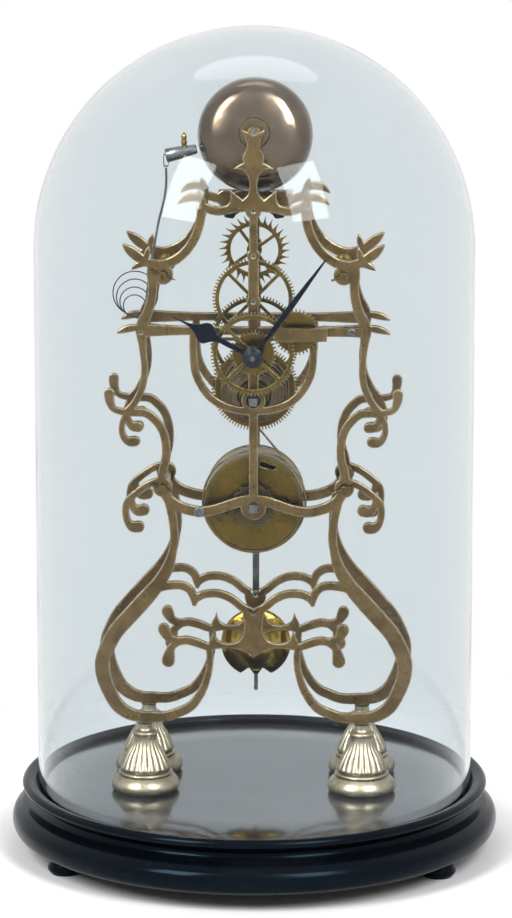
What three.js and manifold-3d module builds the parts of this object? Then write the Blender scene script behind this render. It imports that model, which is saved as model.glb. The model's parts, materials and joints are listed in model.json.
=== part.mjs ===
// A skeleton clock under a glass dome: a fusee timepiece between two pierced brass plates, with a bell.
// Millimetres, +Z up. The clock faces -Y, and +X is to the right of someone who looks at it.
import * as THREE from "three";
import { mergeVertices } from "three/addons/utils/BufferGeometryUtils.js";
import Module from "manifold-3d";

const wasm = await Module();
wasm.setup();

// Clearances
const seatGap = 0.3; // between a piece and what carries it
const meshGap = 0.35; // between the tip circles of a wheel and its pinion
const overrun = 1; // how far a cutting tool passes the face that it cuts
const fineRound = 24; // sides of a large turned piece
const midRound = 18; // sides of a middling one
const smallRound = 10; // sides of a small one
const pinRound = 8; // sides of a pivot or a pin
const tinyRound = 6; // sides of the scrolls' balls, of taper pins and of thin wires
const samePoint = 1e-4; // points nearer than this are one point
const sliver = 0.12; // points of an outline this near to a straight run are left out

// Frame: two plates and their four pillars
const frameHeight = 346;
const frameHalfWidth = 90;
const frameBar = 10;
const plateThickness = 3.4;
const plateRoom = 38.6; // between the inner faces
const bossRadius = 5.7;
const pillarRadius = 3.4;
const pillarShoulder = 5.2;
const tenonRadius = 2.3;
const tenonProud = 4.6;
const taperPinRadius = 0.65;
const taperPinLength = 15;
const pinTilt = 0.35; // radians from level

// Brass feet and the turned wooden base
const footHeight = 39.5;
const footRadius = 19.6;
const footNeckRadius = 6.3;
const bunHeight = 8;
const bunRadius = 10;
const bunCount = 3;
const baseThickness = 30.7;
const rimRise = 2.9;
const rimWidth = 7.7;
const torusProud = 6;
const grooveDepth = 4;
const grooveClear = 1.5;
const domeWall = 2.6;
const domeSideRoom = 35.9;
const domeHeadroom = 30.9;

// Train
const arborRadius = 1.5;
const thinArborRadius = 1.2;
const pivotRadius = 0.9;
const squareHalf = 2.2;
const windingArborRadius = 3;
const wheelSpokes = 4;
const wheelThickness = 1.4;
const greatThickness = 2;
const wheelSpace = 1.4; // between neighbouring wheels on their arbors
const rimWall = 2.2;
const spokeWidth = 1.9;
const collarRadius = 3.4;
const centrePinionRadius = 2.4;
const thirdPinionRadius = 2.8;
const escapePinionRadius = 2.1;
const pinionLeaves = 8;
const finePinionLeaves = 6; // of the escape pinion and the motion pinion
const anchorRoom = 5.75; // from the escape wheel's tips up to the pallets' arbor
const escapeTeeth = 30;
const escapeToothDepth = 4.4;
const toothDepth = 1.7;
const thirdTeeth = 72;
const centreTeeth = 80;
const greatTeeth = 84;
const fuseeLength = 23.6;
const fuseeLargeRadius = 20;
const fuseeSmallRadius = 8.4;
const barrelRadius = 28.6;
const barrelWall = 1.5;
const barrelEndRoom = 3.9;
const lineRadius = 0.65;
const linePitch = 2.5;
const lineTurns = 8;
const barrelLap = 1.25; // turns of the line on the barrel
const springTurns = 4;
const springHalf = 0.4;
const ratchetRadius = 13;
const ratchetTeeth = 14;
const ratchetThickness = 1.6;
const clickReach = 31; // from the barrel's axis to the click's screw
const clickHalf = 1.8;
const screwHeadRadius = 2.9;
const screwHeadHeight = 1.8;

// Motion work and hands
const dialTeeth = 36;
const squareRoom = 1.475; // from the hour wheel to the fusee's winding square
const motionPinionRadius = 2.4;
const hourTeeth = 72;
const pipeWall = 0.8;
const hourHandLength = 51.3;
const minuteHandLength = 70;
const handThickness = 1;
const hourAngle = THREE.MathUtils.degToRad(297);
const minuteAngle = THREE.MathUtils.degToRad(36.2);
const cockLength = 62;
const cockBlockHeight = 7.5;
const cockBlockDepth = 3.6;
const cockFootThickness = 1.5;

// Escapement and pendulum
const anchorThickness = 2.4;
const anchorSpan = 17.7;
const nibGap = 1.1; // from the escape wheel's tip circle to the pallets, at rest
const crutchLength = 45;
const crutchThickness = 1.2;
const pendulumBack = 10.3; // from the back plate to the pendulum's plane
const bobRadius = 20.5;
const bobHalfThickness = 7;
const bobEdge = 0.8;
const rodWidth = 3.9;
const rodThickness = 1.2;
const threadRadius = 1.2;
const threadLength = 14;
const nutRadius = 4;
const nutHeight = 3.2;
const bobNotchWidth = 17.8;
const bobNotchHeight = 6;
const stripThickness = 0.4;
const stripWidth = 5;
const stripLength = 13;
const chopWidth = 8;
const cockLugSpread = 17.3;
const cockLugRadius = 5;
const cockBar = 3;

// Bell and hammer
const bellRoom = 4.541; // from the pallets' arbor up to the bell's mouth
const bellDepth = 21;
const bellWall = 1.8;
const bellBossRadius = 9;
const bellBossRise = 1.6;
const bellStudRadius = 2.2;
const standWidth = 7;
const standThickness = 3;
const bellMouthBack = 2.3; // from the middle of the bell's mouth to the back plate's plane
const bellTilt = THREE.MathUtils.degToRad(11); // how far the bell's crown is turned up
const strikeGap = 1.2;
const headRadius = 3.7;
const headLength = 18;
const headSlope = THREE.MathUtils.degToRad(13);
const acornRadius = 2.3;
const acornHeight = 8.6;
const hammerRodRadius = 0.7;
const hammerArborRadius = 1.3;
const hammerPlaneRoom = 6.3; // from the back plate to the hammer's plane
const tailHalf = 1.2;
const lifterRadius = 5.6;
const coilWireRadius = 0.35;
const coilLoops = 4;
const coilRadius = 14;
const coilShrink = 2.1; // how much smaller each loop is than the last
const coilPitch = 1.9;

// Shares of the frame's height at which the bob, each arbor and the bell stand
const bobShare = 0.09908;
const barrelShare = 0.371;
const fuseeShare = 0.551;
const centreShare = 0.632;
const motionShare = 0.66726;
const thirdShare = 0.7165;
const escapeShare = 0.792;
const palletShare = 0.867;
const bellShare = 0.9755;

// Heights and depths that follow
const platformZ = bunHeight + baseThickness;
const frameZ0 = platformZ + footHeight + seatGap;
const zAt = (share) => frameZ0 + share * frameHeight;
const barrelZ = zAt(barrelShare);
const fuseeZ = zAt(fuseeShare);
const centreZ = zAt(centreShare);
const thirdZ = zAt(thirdShare);
const escapeZ = zAt(escapeShare);
const palletZ = zAt(palletShare);
const bellZ = zAt(bellShare);
const bellRadius = bellZ - palletZ - bellRoom;
const innerY = plateRoom / 2;
const outerY = innerY + plateThickness;
const plateMidY = innerY + plateThickness / 2;
const domeRadius = frameHalfWidth + domeSideRoom;
const domeTopZ = bellZ + bellRadius + domeHeadroom;
const grooveInner = domeRadius - domeWall - grooveClear;
const grooveOuter = domeRadius + grooveClear;
const rimRadius = grooveOuter + rimWidth;
const baseRadius = rimRadius + torusProud;

// Wheel radii that follow from the distances between the arbors
const escapeTipRadius = palletZ - escapeZ - anchorRoom;
const greatRadius = centreZ - fuseeZ - centrePinionRadius - meshGap;
const centreRadius = thirdZ - centreZ - thirdPinionRadius - meshGap;
const thirdRadius = escapeZ - thirdZ - escapePinionRadius - meshGap;
const hourRadius = centreZ - fuseeZ - squareHalf - squareRoom;
const motionDistance = hourRadius + motionPinionRadius + meshGap;
const motionZ = zAt(motionShare);
const motionX = Math.sqrt(motionDistance ** 2 - (motionZ - centreZ) ** 2);
const dialRadius = (motionDistance - meshGap) / 2;

// Depths of the wheels, from the back plate forwards
const centreWheelY = innerY - wheelSpace - wheelThickness;
const greatWheelY = centreWheelY - wheelSpace - greatThickness;
const fuseeBackY = greatWheelY - seatGap;
const fuseeFrontY = fuseeBackY - fuseeLength;
const thirdWheelY = -innerY + 4 * wheelSpace;
const escapeWheelY = -wheelThickness / 2;
const barrelBackY = innerY - barrelEndRoom + wheelThickness;
const barrelFrontY = -innerY + barrelEndRoom;

// Depths in front of the front plate
const dialWheelY = -outerY - 2 * seatGap - wheelThickness;
const hourWheelY = dialWheelY - 2.5 * wheelThickness;
const cockBlockY = hourWheelY - wheelSpace + seatGap;
const hourHandY = cockBlockY - cockBlockDepth - handThickness - wheelSpace;
const minuteHandY = hourHandY - handThickness - wheelSpace;
const hubFrontY = minuteHandY - wheelSpace;

// A closed geometry as a solid, and back
function solid(geometry) {
  const bare = geometry.clone();
  bare.deleteAttribute("normal");
  bare.deleteAttribute("uv");
  const merged = mergeVertices(bare, samePoint);
  const mesh = new wasm.Mesh({
    numProp: 3,
    vertProperties: new Float32Array(merged.attributes.position.array),
    triVerts: new Uint32Array(merged.index.array),
  });
  return new wasm.Manifold(mesh);
}

function geometryOf(body) {
  const mesh = body.getMesh();
  const geometry = new THREE.BufferGeometry();
  geometry.setAttribute("position", new THREE.BufferAttribute(mesh.vertProperties, 3));
  geometry.setIndex(new THREE.BufferAttribute(mesh.triVerts, 1));
  return geometry;
}

function join(...pieces) {
  const [first, ...rest] = pieces.map(solid);
  return geometryOf(rest.reduce((sum, piece) => sum.add(piece), first));
}

function cut(body, ...tools) {
  return geometryOf(tools.map(solid).reduce((left, tool) => left.subtract(tool), solid(body)));
}

// An outline drawn in X and Z, made thick from y0 back to y1
function slab(outline, y0, y1, holes = []) {
  const shape = new THREE.Shape(outline.map(([x, z]) => new THREE.Vector2(x, z)));
  shape.holes = holes.map((hole) => new THREE.Path(hole.map(([x, z]) => new THREE.Vector2(x, z))));
  const geometry = new THREE.ExtrudeGeometry(shape, { depth: y1 - y0, bevelEnabled: false });
  geometry.rotateX(Math.PI / 2);
  geometry.translate(0, y1, 0);
  return geometry;
}

// Whether a point of a loop stands off the line between its neighbours
function turnsAt(loop, i) {
  const [ax, az] = loop.at(i - 1);
  const [bx, bz] = loop[(i + 1) % loop.length];
  const run = Math.hypot(bx - ax, bz - az);
  const off = (bx - ax) * (loop[i][1] - az) - (bz - az) * (loop[i][0] - ax);
  return Math.abs(off) > sliver * run;
}

// The outlines of a flat body's face at depth y, the largest first
function outlinesAt(body, y) {
  const { position } = body.attributes;
  const edges = new Set();
  for (let i = 0; i < body.index.count; i += 3) {
    const corners = [0, 1, 2].map((k) => body.index.getX(i + k));
    if (corners.some((c) => Math.abs(position.getY(c) - y) > samePoint)) continue;
    corners.forEach((c, k) => edges.add(`${c} ${corners[(k + 1) % 3]}`));
  }
  const next = new Map();
  for (const edge of edges) {
    const [from, to] = edge.split(" ").map(Number);
    if (!edges.has(`${to} ${from}`)) next.set(from, to);
  }
  const loops = [];
  while (next.size) {
    const loop = [];
    let at = next.keys().next().value;
    while (next.has(at)) {
      const to = next.get(at);
      next.delete(at);
      loop.push([position.getX(at), position.getZ(at)]);
      at = to;
    }
    loops.push(loop.filter((_, k) => turnsAt(loop, k)));
  }
  const size = (loop) => Math.abs(THREE.ShapeUtils.area(loop.map(([x, z]) => new THREE.Vector2(x, z))));
  return loops.sort((a, b) => size(b) - size(a));
}

function circle(x, z, radius, sides, start = 0) {
  return Array.from({ length: sides }, (_, i) => {
    const a = start + (2 * Math.PI * i) / sides;
    return [x + radius * Math.cos(a), z + radius * Math.sin(a)];
  });
}

const disc = (x, z, radius, y0, y1, sides = smallRound) => slab(circle(x, z, radius, sides), y0, y1);

const block = (x0, x1, y0, y1, z0, z1) =>
  slab([[x0, z0], [x1, z0], [x1, z1], [x0, z1]], y0, y1);

// A profile of [radius, distance] pairs turned about the Y axis at (x, z), or about the vertical
function turnedY(profile, x, z, sides) {
  const points = profile.map(([r, y]) => new THREE.Vector2(r, y));
  const geometry = new THREE.LatheGeometry(points, sides);
  geometry.translate(x, 0, z);
  return geometry;
}

function turnedZ(profile, x, y, sides) {
  const points = profile.map(([r, z]) => new THREE.Vector2(r, z));
  const geometry = new THREE.LatheGeometry(points, sides);
  geometry.rotateX(Math.PI / 2);
  geometry.translate(x, y, 0);
  return geometry;
}

// A bar of changing width: each station is [x, z, half width], smoothed and split into steps
function ribbonOutline(stations, steps) {
  const curve = new THREE.CatmullRomCurve3(stations.map((s) => new THREE.Vector3(...s)));
  const points = steps ? curve.getPoints(steps) : curve.points;
  const sides = points.map((p, i) => {
    const a = points[Math.max(i - 1, 0)];
    const b = points[Math.min(i + 1, points.length - 1)];
    const run = Math.hypot(b.x - a.x, b.y - a.y);
    const nx = (-(b.y - a.y) / run) * p.z;
    const nz = ((b.x - a.x) / run) * p.z;
    return [[p.x + nx, p.y + nz], [p.x - nx, p.y - nz]];
  });
  return [...sides.map((s) => s[0]), ...sides.map((s) => s[1]).reverse()];
}

const ribbon = (stations, steps, y0, y1) => slab(ribbonOutline(stations, steps), y0, y1);

// A round wire along points, with flat ends
const wireSide = [0, 1, 0.1]; // the way that the first corner of a wire faces

function wire(points, radius, sides) {
  const rings = [];
  let side = new THREE.Vector3(...wireSide).normalize();
  points.forEach((point, i) => {
    const before = points[Math.max(i - 1, 0)];
    const after = points[Math.min(i + 1, points.length - 1)];
    const along = after.clone().sub(before).normalize();
    side = side.clone().addScaledVector(along, -side.dot(along)).normalize();
    const up = along.clone().cross(side);
    for (let k = 0; k < sides; k++) {
      const a = (2 * Math.PI * k) / sides;
      const corner = point.clone().addScaledVector(side, radius * Math.cos(a));
      rings.push(corner.addScaledVector(up, radius * Math.sin(a)));
    }
  });
  const faces = [];
  const last = (points.length - 1) * sides;
  for (let i = 0; i < last; i += sides) {
    for (let k = 0; k < sides; k++) {
      const n = (k + 1) % sides;
      faces.push(i + k, i + n, i + sides + n, i + k, i + sides + n, i + sides + k);
    }
  }
  for (let k = 1; k < sides - 1; k++) {
    faces.push(0, k + 1, k, last, last + k, last + k + 1);
  }
  const geometry = new THREE.BufferGeometry().setFromPoints(rings);
  geometry.setIndex(faces);
  return geometry;
}

// The least gap of a wire to itself, between points that stand more than half a turn apart
function leastGap(points, radius, apart) {
  let least = Infinity;
  points.forEach((p, i) => {
    for (let k = i + apart; k < points.length; k++) {
      least = Math.min(least, p.distanceTo(points[k]) - 2 * radius);
    }
  });
  return least;
}

// Colours and finishes
const finish = (color, roughness, metalness) =>
  new THREE.MeshStandardMaterial({ color, roughness, metalness });
const agedBrass = finish(0x8f7a45, 0.4, 1);
const brightBrass = finish(0xb89b55, 0.25, 1);
const bellMetal = finish(0x6e5236, 0.2, 1);
const steel = finish(0x8a8b8c, 0.35, 1);
const bluedSteel = finish(0x1d2436, 0.3, 1);
const ebonised = finish(0x0d0d10, 0.2, 0);
const glassFinish = finish(0xeef4f6, 0.03, 0);
glassFinish.transparent = true;
glassFinish.opacity = 0.2;
const gut = finish(0x9a8258, 0.6, 0);

const clock = new THREE.Group();

function place(name, geometry, material) {
  const mesh = new THREE.Mesh(geometry, material);
  mesh.name = name;
  clock.add(mesh);
}

// Outline of the pierced plates, right half. Each row is [x, z, half width], as shares of
// the frame's half width, of its height and of the bar.
const crownArmShares = [[0, 0.879, 0.245], [0.157, 0.869, 0.245], [0.22, 0.866, 0.245],
  [0.282, 0.87, 0.245], [0.33, 0.875, 0.22]];
const sideArmShares = [[0.327, 0.872, 0.27], [0.345, 0.844, 0.27], [0.377, 0.822, 0.27],
  [0.44, 0.801, 0.27], [0.503, 0.784, 0.27], [0.58, 0.773, 0.28], [0.626, 0.745, 0.3],
  [0.642, 0.72, 0.31], [0.698, 0.695, 0.31], [0.707, 0.668, 0.36]];
const levelBarShares = [[0.707, 0.668, 0.37], [0.454, 0.668, 0.26], [0.33, 0.668, 0.23], [0, 0.668, 0.23]];
const sideBarShares = [[0.707, 0.67, 0.36], [0.698, 0.636, 0.2], [0.687, 0.603, 0.2],
  [0.698, 0.577, 0.2], [0.724, 0.559, 0.2], [0.76, 0.543, 0.2], [0.8, 0.532, 0.2]];
const scrollShares = [[0.915, 0.562, 0.26], [0.9, 0.546, 0.17], [0.871, 0.534, 0.17],
  [0.829, 0.531, 0.2], [0.784, 0.53, 0.22], [0.683, 0.529, 0.24], [0.633, 0.52, 0.24],
  [0.591, 0.507, 0.24], [0.562, 0.488, 0.24], [0.553, 0.468, 0.24], [0.558, 0.448, 0.24],
  [0.578, 0.428, 0.26], [0.583, 0.406, 0.28]];
const upperCurlShares = [[0.65, 0.521, 0.16], [0.7, 0.513, 0.16], [0.729, 0.506, 0.29]];
const lowerCurlShares = [[0.78, 0.53, 0.16], [0.812, 0.513, 0.16], [0.822, 0.494, 0.16],
  [0.795, 0.483, 0.17], [0.76, 0.4785, 0.29]];
const hipScrollShares = [[0.589, 0.415, 0.24], [0.66, 0.409, 0.2], [0.737, 0.395, 0.2],
  [0.802, 0.378, 0.2], [0.812, 0.361, 0.2], [0.79, 0.345, 0.2], [0.737, 0.3355, 0.32]];
const hipCurlShares = [[0.744, 0.392, 0.18], [0.745, 0.373, 0.18], [0.7, 0.3655, 0.34]];
const yokeShares = [[0.567, 0.398, 0.3], [0.539, 0.384, 0.3], [0.477, 0.372, 0.3], [0.35, 0.363, 0.3],
  [0.254, 0.366, 0.3], [0.159, 0.374, 0.3], [0.063, 0.382, 0.3], [0, 0.383, 0.3]];
const harpShares = [[0.55, 0.392, 0.25], [0.534, 0.375, 0.25], [0.512, 0.349, 0.25], [0.503, 0.319, 0.25],
  [0.516, 0.293, 0.26], [0.548, 0.266, 0.34], [0.612, 0.238, 0.4], [0.689, 0.214, 0.46],
  [0.804, 0.18, 0.46], [0.882, 0.156, 0.45], [0.94, 0.127, 0.44], [0.966, 0.106, 0.43],
  [0.961, 0.082, 0.42], [0.925, 0.055, 0.4], [0.868, 0.029, 0.38], [0.785, 0.0145, 0.35],
  [0.689, 0.0105, 0.3], [0.642, 0.0105, 0.3], [0.556, 0.0115, 0.29], [0.485, 0.018, 0.28],
  [0.405, 0.0285, 0.27], [0.33, 0.055, 0.23], [0.286, 0.09, 0.2], [0.278, 0.115, 0.2], [0.284, 0.131, 0.2]];
const outerArchShares = [[0.56, 0.236, 0.24], [0.453, 0.2365, 0.24], [0.402, 0.228, 0.24],
  [0.377, 0.2125, 0.22], [0.377, 0.202, 0.1]];
const innerArchShares = [[0.38, 0.204, 0.12], [0.361, 0.215, 0.22], [0.312, 0.222, 0.23],
  [0.223, 0.223, 0.23], [0.14, 0.2145, 0.23], [0.077, 0.201, 0.23], [0.011, 0.191, 0.23]];
const heartArmShares = [[0, 0.13, 0.3], [0.211, 0.13, 0.2], [0.289, 0.13, 0.2], [0.364, 0.139, 0.2],
  [0.429, 0.143, 0.2], [0.492, 0.1415, 0.2], [0.54, 0.147, 0.2], [0.572, 0.16, 0.32]];
const heartCurlShares = [[0.467, 0.142, 0.18], [0.522, 0.131, 0.18], [0.545, 0.109, 0.36]];
const heartStemShares = [[0.011, 0.205, 0.5], [0, 0.19, 0.66], [0, 0.12, 0.66]];
const archRingShares = [[0.379, 0.668, 0.22], [0.379, 0.633, 0.22], [0.367, 0.599, 0.22], [0.328, 0.575, 0.22],
  [0.268, 0.555, 0.22], [0.19, 0.542, 0.22], [0.098, 0.535, 0.22], [0, 0.533, 0.22]];
const spineShares = [[0, 0.879, 0.23], [0, 0.786, 0.24], [0, 0.782, 0.3], [0, 0.6, 0.3], [0, 0.53, 0.26],
  [0, 0.4, 0.26], [0, 0.38, 0.3]];
// Leaves: [root x, root z, tip x, tip z, width], the width as a share of the bar
const leafShares = [[0.31, 0.877, 0.475, 0.876, 0.5], [0.315, 0.872, 0.36, 0.907, 0.55],
  [0.6, 0.762, 0.817, 0.811, 0.68], [0.6, 0.762, 0.653, 0.808, 0.45], [0.61, 0.765, 0.786, 0.7725, 0.45],
  [0.69, 0.672, 0.861, 0.663, 0.42], [0.245, 0.134, 0.266, 0.165, 0.3]];
// The finial on the front plate, right half: [x as a share of the bar, z]
const finialShares = [[0, 0.992], [0.32, 0.994], [0.68, 1], [0.52, 0.988], [0.35, 0.975], [0.46, 0.967],
  [0.56, 0.959], [0.5, 0.949], [1.02, 0.938], [0.52, 0.935], [0.3, 0.925], [0.2, 0.91], [0.3, 0.897],
  [0.63, 0.89], [1.3, 0.9], [1.05, 0.884], [0.8, 0.87]];
const upperPillarShares = [0.568, 0.761];
const lowerPillarShares = [0.576, 0.404];
const hammerArborShares = [0.711, 0.6655];
const padShares = [0.625, 0.764];
const padTopShare = 0.02;

const xAt = (share) => share * frameHalfWidth;
const hammerX = -xAt(hammerArborShares[0]);
const hammerZ = zAt(hammerArborShares[1]);
const pillarPlaces = [];
for (const [x, z] of [upperPillarShares, lowerPillarShares]) {
  pillarPlaces.push([-xAt(x), zAt(z)], [xAt(x), zAt(z)]);
}
const footX = (xAt(padShares[0]) + xAt(padShares[1])) / 2;

function frameRibbons(y0, y1) {
  const bars = [[crownArmShares, 3], [sideArmShares, 7], [levelBarShares, 0], [sideBarShares, 5],
    [scrollShares, 10], [upperCurlShares, 2], [lowerCurlShares, 5], [hipScrollShares, 6],
    [hipCurlShares, 2], [yokeShares, 5], [harpShares, 17], [outerArchShares, 4], [innerArchShares, 5],
    [heartArmShares, 6], [heartCurlShares, 2], [heartStemShares, 0], [archRingShares, 5]];
  return bars.flatMap(([shares, count]) =>
    [1, -1].map((side) => {
      const stations = shares.map(([x, z, w]) => [side * xAt(x), zAt(z), w * frameBar]);
      return ribbon(stations, count, y0, y1);
    }),
  );
}

function leaves(y0, y1) {
  return leafShares.flatMap(([x0, z0, x1, z1, w]) =>
    [1, -1].map((side) => {
      const root = [side * xAt(x0), zAt(z0), (w * frameBar) / 3];
      const tip = [side * xAt(x1), zAt(z1), (w * frameBar) / 12];
      const belly = [(root[0] + tip[0]) / 2, (root[1] + tip[1]) / 2, (w * frameBar) / 2];
      return ribbon([root, belly, tip], 0, y0, y1);
    }),
  );
}

function ballEnds(y0, y1) {
  const ends = [scrollShares[0], upperCurlShares.at(-1), lowerCurlShares.at(-1), hipScrollShares.at(-1),
    hipCurlShares.at(-1), heartArmShares.at(-1), heartCurlShares.at(-1)];
  return ends.flatMap(([x, z, w]) =>
    [1, -1].map((side) => disc(side * xAt(x), zAt(z), w * frameBar, y0, y1, tinyRound)),
  );
}

// A plate between y0 and y1, with its extra parts and with bores of [x, z, radius of what turns in it]
function piercedPlate(y0, y1, extras, bores) {
  const spine = spineShares.map(([x, z, w]) => [xAt(x), zAt(z), w * frameBar]);
  const bosses = pillarPlaces.map(([x, z]) => disc(x, z, bossRadius, y0, y1, smallRound));
  const pads = [1, -1].map((side) =>
    block(side * footX - footNeckRadius, side * footX + footNeckRadius, y0, y1, frameZ0, zAt(padTopShare)));
  const hubs = [[barrelZ, 1.3], [fuseeZ, 1.2], [centreZ, 1.2], [thirdZ, 0.7], [escapeZ, 0.65], [palletZ, 0.8]];
  const body = join(
    ...frameRibbons(y0, y1),
    ribbon(spine, 0, y0, y1),
    ...leaves(y0, y1),
    ...ballEnds(y0, y1),
    ...bosses,
    ...pads,
    ...hubs.map(([z, share]) => disc(0, z, share * bossRadius, y0, y1, pinRound)),
    ...extras,
  );
  const [outline, ...windows] = outlinesAt(body, y0);
  const places = [...bores, [0, escapeZ, pivotRadius], [0, thirdZ, pivotRadius],
    [hammerX, hammerZ, pivotRadius], ...pillarPlaces.map((at) => [...at, tenonRadius])];
  const holes = places.map(([x, z, r]) => circle(x, z, r + seatGap, pinRound));
  return slab(outline, y0, y1, [...windows, ...holes]);
}

function frontPlate() {
  const y0 = -outerY;
  const y1 = -innerY;
  const right = finialShares.map(([x, z]) => [x * frameBar, zAt(z)]);
  const left = right.slice(1).map(([x, z]) => [-x, z]).reverse();
  const bores = [[0, palletZ, pivotRadius], [0, centreZ, arborRadius], [0, fuseeZ, windingArborRadius],
    [0, barrelZ, windingArborRadius], [motionX, motionZ, pivotRadius], [-clickReach, clickZ, pivotRadius]];
  return piercedPlate(y0, y1, [slab([...right, ...left], y0, y1)], bores);
}

function backPlate() {
  const y0 = innerY;
  const y1 = outerY;
  const lugs = [1, -1].map((side) => disc(side * cockLugSpread, palletZ, cockLugRadius, y0, y1));
  const neck = block(-standWidth / 2, standWidth / 2, y0, y1, zAt(crownArmShares[0][1]), bellFootTopZ);
  const bores = [[0, palletZ, arborRadius],
    ...[centreZ, fuseeZ, barrelZ].map((z) => [0, z, pivotRadius])];
  return piercedPlate(y0, y1, [...lugs, neck], bores);
}

// A pillar: shouldered between the plates, with a pinned tenon in front and a plain one behind
const tenonFrontY = -outerY - tenonProud;
const taperPinY = -outerY - tenonProud / 2;

function taperPin([x, z], radius, length) {
  const half = length / 2;
  const pin = turnedY([[0, -half], [radius, -half], [radius / 2, half], [0, half]], 0, 0, tinyRound);
  pin.rotateX(Math.PI / 2);
  pin.rotateY(Math.PI / 2 - Math.sign(x) * pinTilt);
  pin.translate(x, taperPinY, z);
  return pin;
}

function pillar(at) {
  const ringShare = 0.72;
  const end = innerY;
  const ring = pillarShoulder - pillarRadius;
  const half = [[pillarShoulder, end], [pillarShoulder, end - ring],
    [pillarRadius * ringShare, end - 2 * ring]];
  const profile = [
    [0, tenonFrontY], [tenonRadius, tenonFrontY], [tenonRadius, -end],
    ...half.map(([r, y]) => [r, -y]),
    [pillarRadius, 0],
    ...half.reverse(),
    [tenonRadius, end], [tenonRadius, outerY], [0, outerY],
  ];
  const body = turnedY(profile, at[0], at[1], pinRound);
  return cut(body, taperPin(at, taperPinRadius + seatGap, taperPinLength));
}

// The wooden base, its three bun feet and the dome that stands in its groove
function woodenBase() {
  const topZ = platformZ + rimRise;
  const coveRadius = rimRadius - rimWidth;
  const t = baseThickness;
  return turnedZ(
    [
      [0, bunHeight], [baseRadius - 2 * torusProud, bunHeight],
      [baseRadius - torusProud * 0.3, bunHeight + t * 0.15],
      [baseRadius, bunHeight + t * 0.34],
      [baseRadius - torusProud * 0.25, bunHeight + t * 0.5],
      [baseRadius - torusProud, bunHeight + t * 0.62],
      [coveRadius + rimWidth * 0.3, bunHeight + t * 0.66],
      [coveRadius, bunHeight + t * 0.78],
      [coveRadius + rimWidth * 0.3, bunHeight + t * 0.88],
      [rimRadius - rimWidth * 0.1, bunHeight + t * 0.94],
      [rimRadius, platformZ + rimRise * 0.2],
      [rimRadius - rimWidth * 0.3, topZ],
      [grooveOuter, topZ - rimRise * 0.4], [grooveOuter, platformZ - grooveDepth],
      [grooveInner, platformZ - grooveDepth], [grooveInner, platformZ], [0, platformZ],
    ],
    0, 0, fineRound,
  );
}

function bunFoot(index) {
  const ringRadius = baseRadius - torusProud - bunRadius * 1.15;
  const a = -Math.PI / 2 + Math.PI / bunCount + (2 * Math.PI * index) / bunCount;
  const profile = [[0, 0], [bunRadius * 0.8, 0], [bunRadius, bunHeight * 0.4], [bunRadius * 0.85, bunHeight],
    [0, bunHeight]];
  return turnedZ(profile, ringRadius * Math.cos(a), ringRadius * Math.sin(a), smallRound);
}

function glassDome() {
  const footZ = platformZ - grooveDepth + seatGap;
  const springZ = domeTopZ - domeRadius;
  const rings = 5;
  const arc = (radius) => Array.from({ length: rings + 1 }, (_, i) => {
    const a = (Math.PI / 2) * (i / rings);
    return [radius * Math.cos(a), springZ + radius * Math.sin(a)];
  });
  const inner = arc(domeRadius - domeWall).reverse();
  const foot = [[domeRadius - domeWall, footZ], [domeRadius, footZ]];
  return turnedZ([...inner, ...foot, ...arc(domeRadius)], 0, 0, fineRound);
}

// A turned brass foot under each lower corner of the plates
function brassFoot(x, y) {
  const r = footRadius;
  const h = footHeight;
  const n = footNeckRadius;
  const profile = [[0, 0], [r * 0.9, 0], [r, h * 0.09], [r * 0.9, h * 0.2], [r * 0.76, h * 0.28],
    [r * 0.87, h * 0.34], [r * 0.83, h * 0.44], [r * 0.65, h * 0.6], [n * 1.1, h * 0.8], [n, h], [0, h]];
  const foot = turnedZ(profile, x, y, smallRound);
  foot.translate(0, 0, platformZ);
  return foot;
}

// A toothed outline: points per tooth are given as [share of the pitch, radius]
function toothed(x, z, teeth, tooth) {
  const outline = [];
  for (let i = 0; i < teeth; i++) {
    for (const [share, radius] of tooth) {
      const a = (2 * Math.PI * (i + share)) / teeth;
      outline.push([x + radius * Math.cos(a), z + radius * Math.sin(a)]);
    }
  }
  return outline;
}

const plain = (tip, depth) => [[0, tip - depth], [0.5, tip]];
const sloped = (tip, depth) => [[0, tip - depth], [0.62, tip - depth * 0.8], [0.96, tip]];

// The windows between the spokes of a crossed-out wheel
function crossings(x, z, outer, inner, spokes, turn) {
  return Array.from({ length: spokes }, (_, i) => {
    const middle = turn + (2 * Math.PI * (i + 0.5)) / spokes;
    const spread = Math.PI / spokes;
    const edge = (radius, way, steps) => Array.from({ length: steps + 1 }, (_, k) => {
      const reach = spread - spokeWidth / 2 / radius;
      const a = middle + way * reach * (1 - (2 * k) / steps);
      return [x + radius * Math.cos(a), z + radius * Math.sin(a)];
    });
    return [...edge(outer, -1, 2), ...edge(inner, 1, 1)];
  });
}

function crossedWheel(z, teeth, tooth, root, spokes, turn, bore, y) {
  const holes = [
    circle(0, z, bore + seatGap, pinRound),
    ...crossings(0, z, root - rimWall, collarRadius + spokeWidth / 2, spokes, turn),
  ];
  return slab(toothed(0, z, teeth, tooth), y, y + wheelThickness, holes);
}

function solidWheel(z, teeth, tip, bore, y, thickness) {
  const hole = circle(0, z, bore + seatGap, smallRound);
  return slab(toothed(0, z, teeth, plain(tip, toothDepth)), y, y + thickness, [hole]);
}

function trainWheel(z, teeth, tip, turn, y) {
  return crossedWheel(z, teeth, plain(tip, toothDepth), tip - toothDepth, wheelSpokes, turn, arborRadius, y);
}

const centreWheel = () => trainWheel(centreZ, centreTeeth, centreRadius, 0, centreWheelY);
const thirdWheel = () => trainWheel(thirdZ, thirdTeeth, thirdRadius, Math.PI / wheelSpokes, thirdWheelY);
const greatWheel = () =>
  solidWheel(fuseeZ, greatTeeth, greatRadius, windingArborRadius, greatWheelY, greatThickness);

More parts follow.
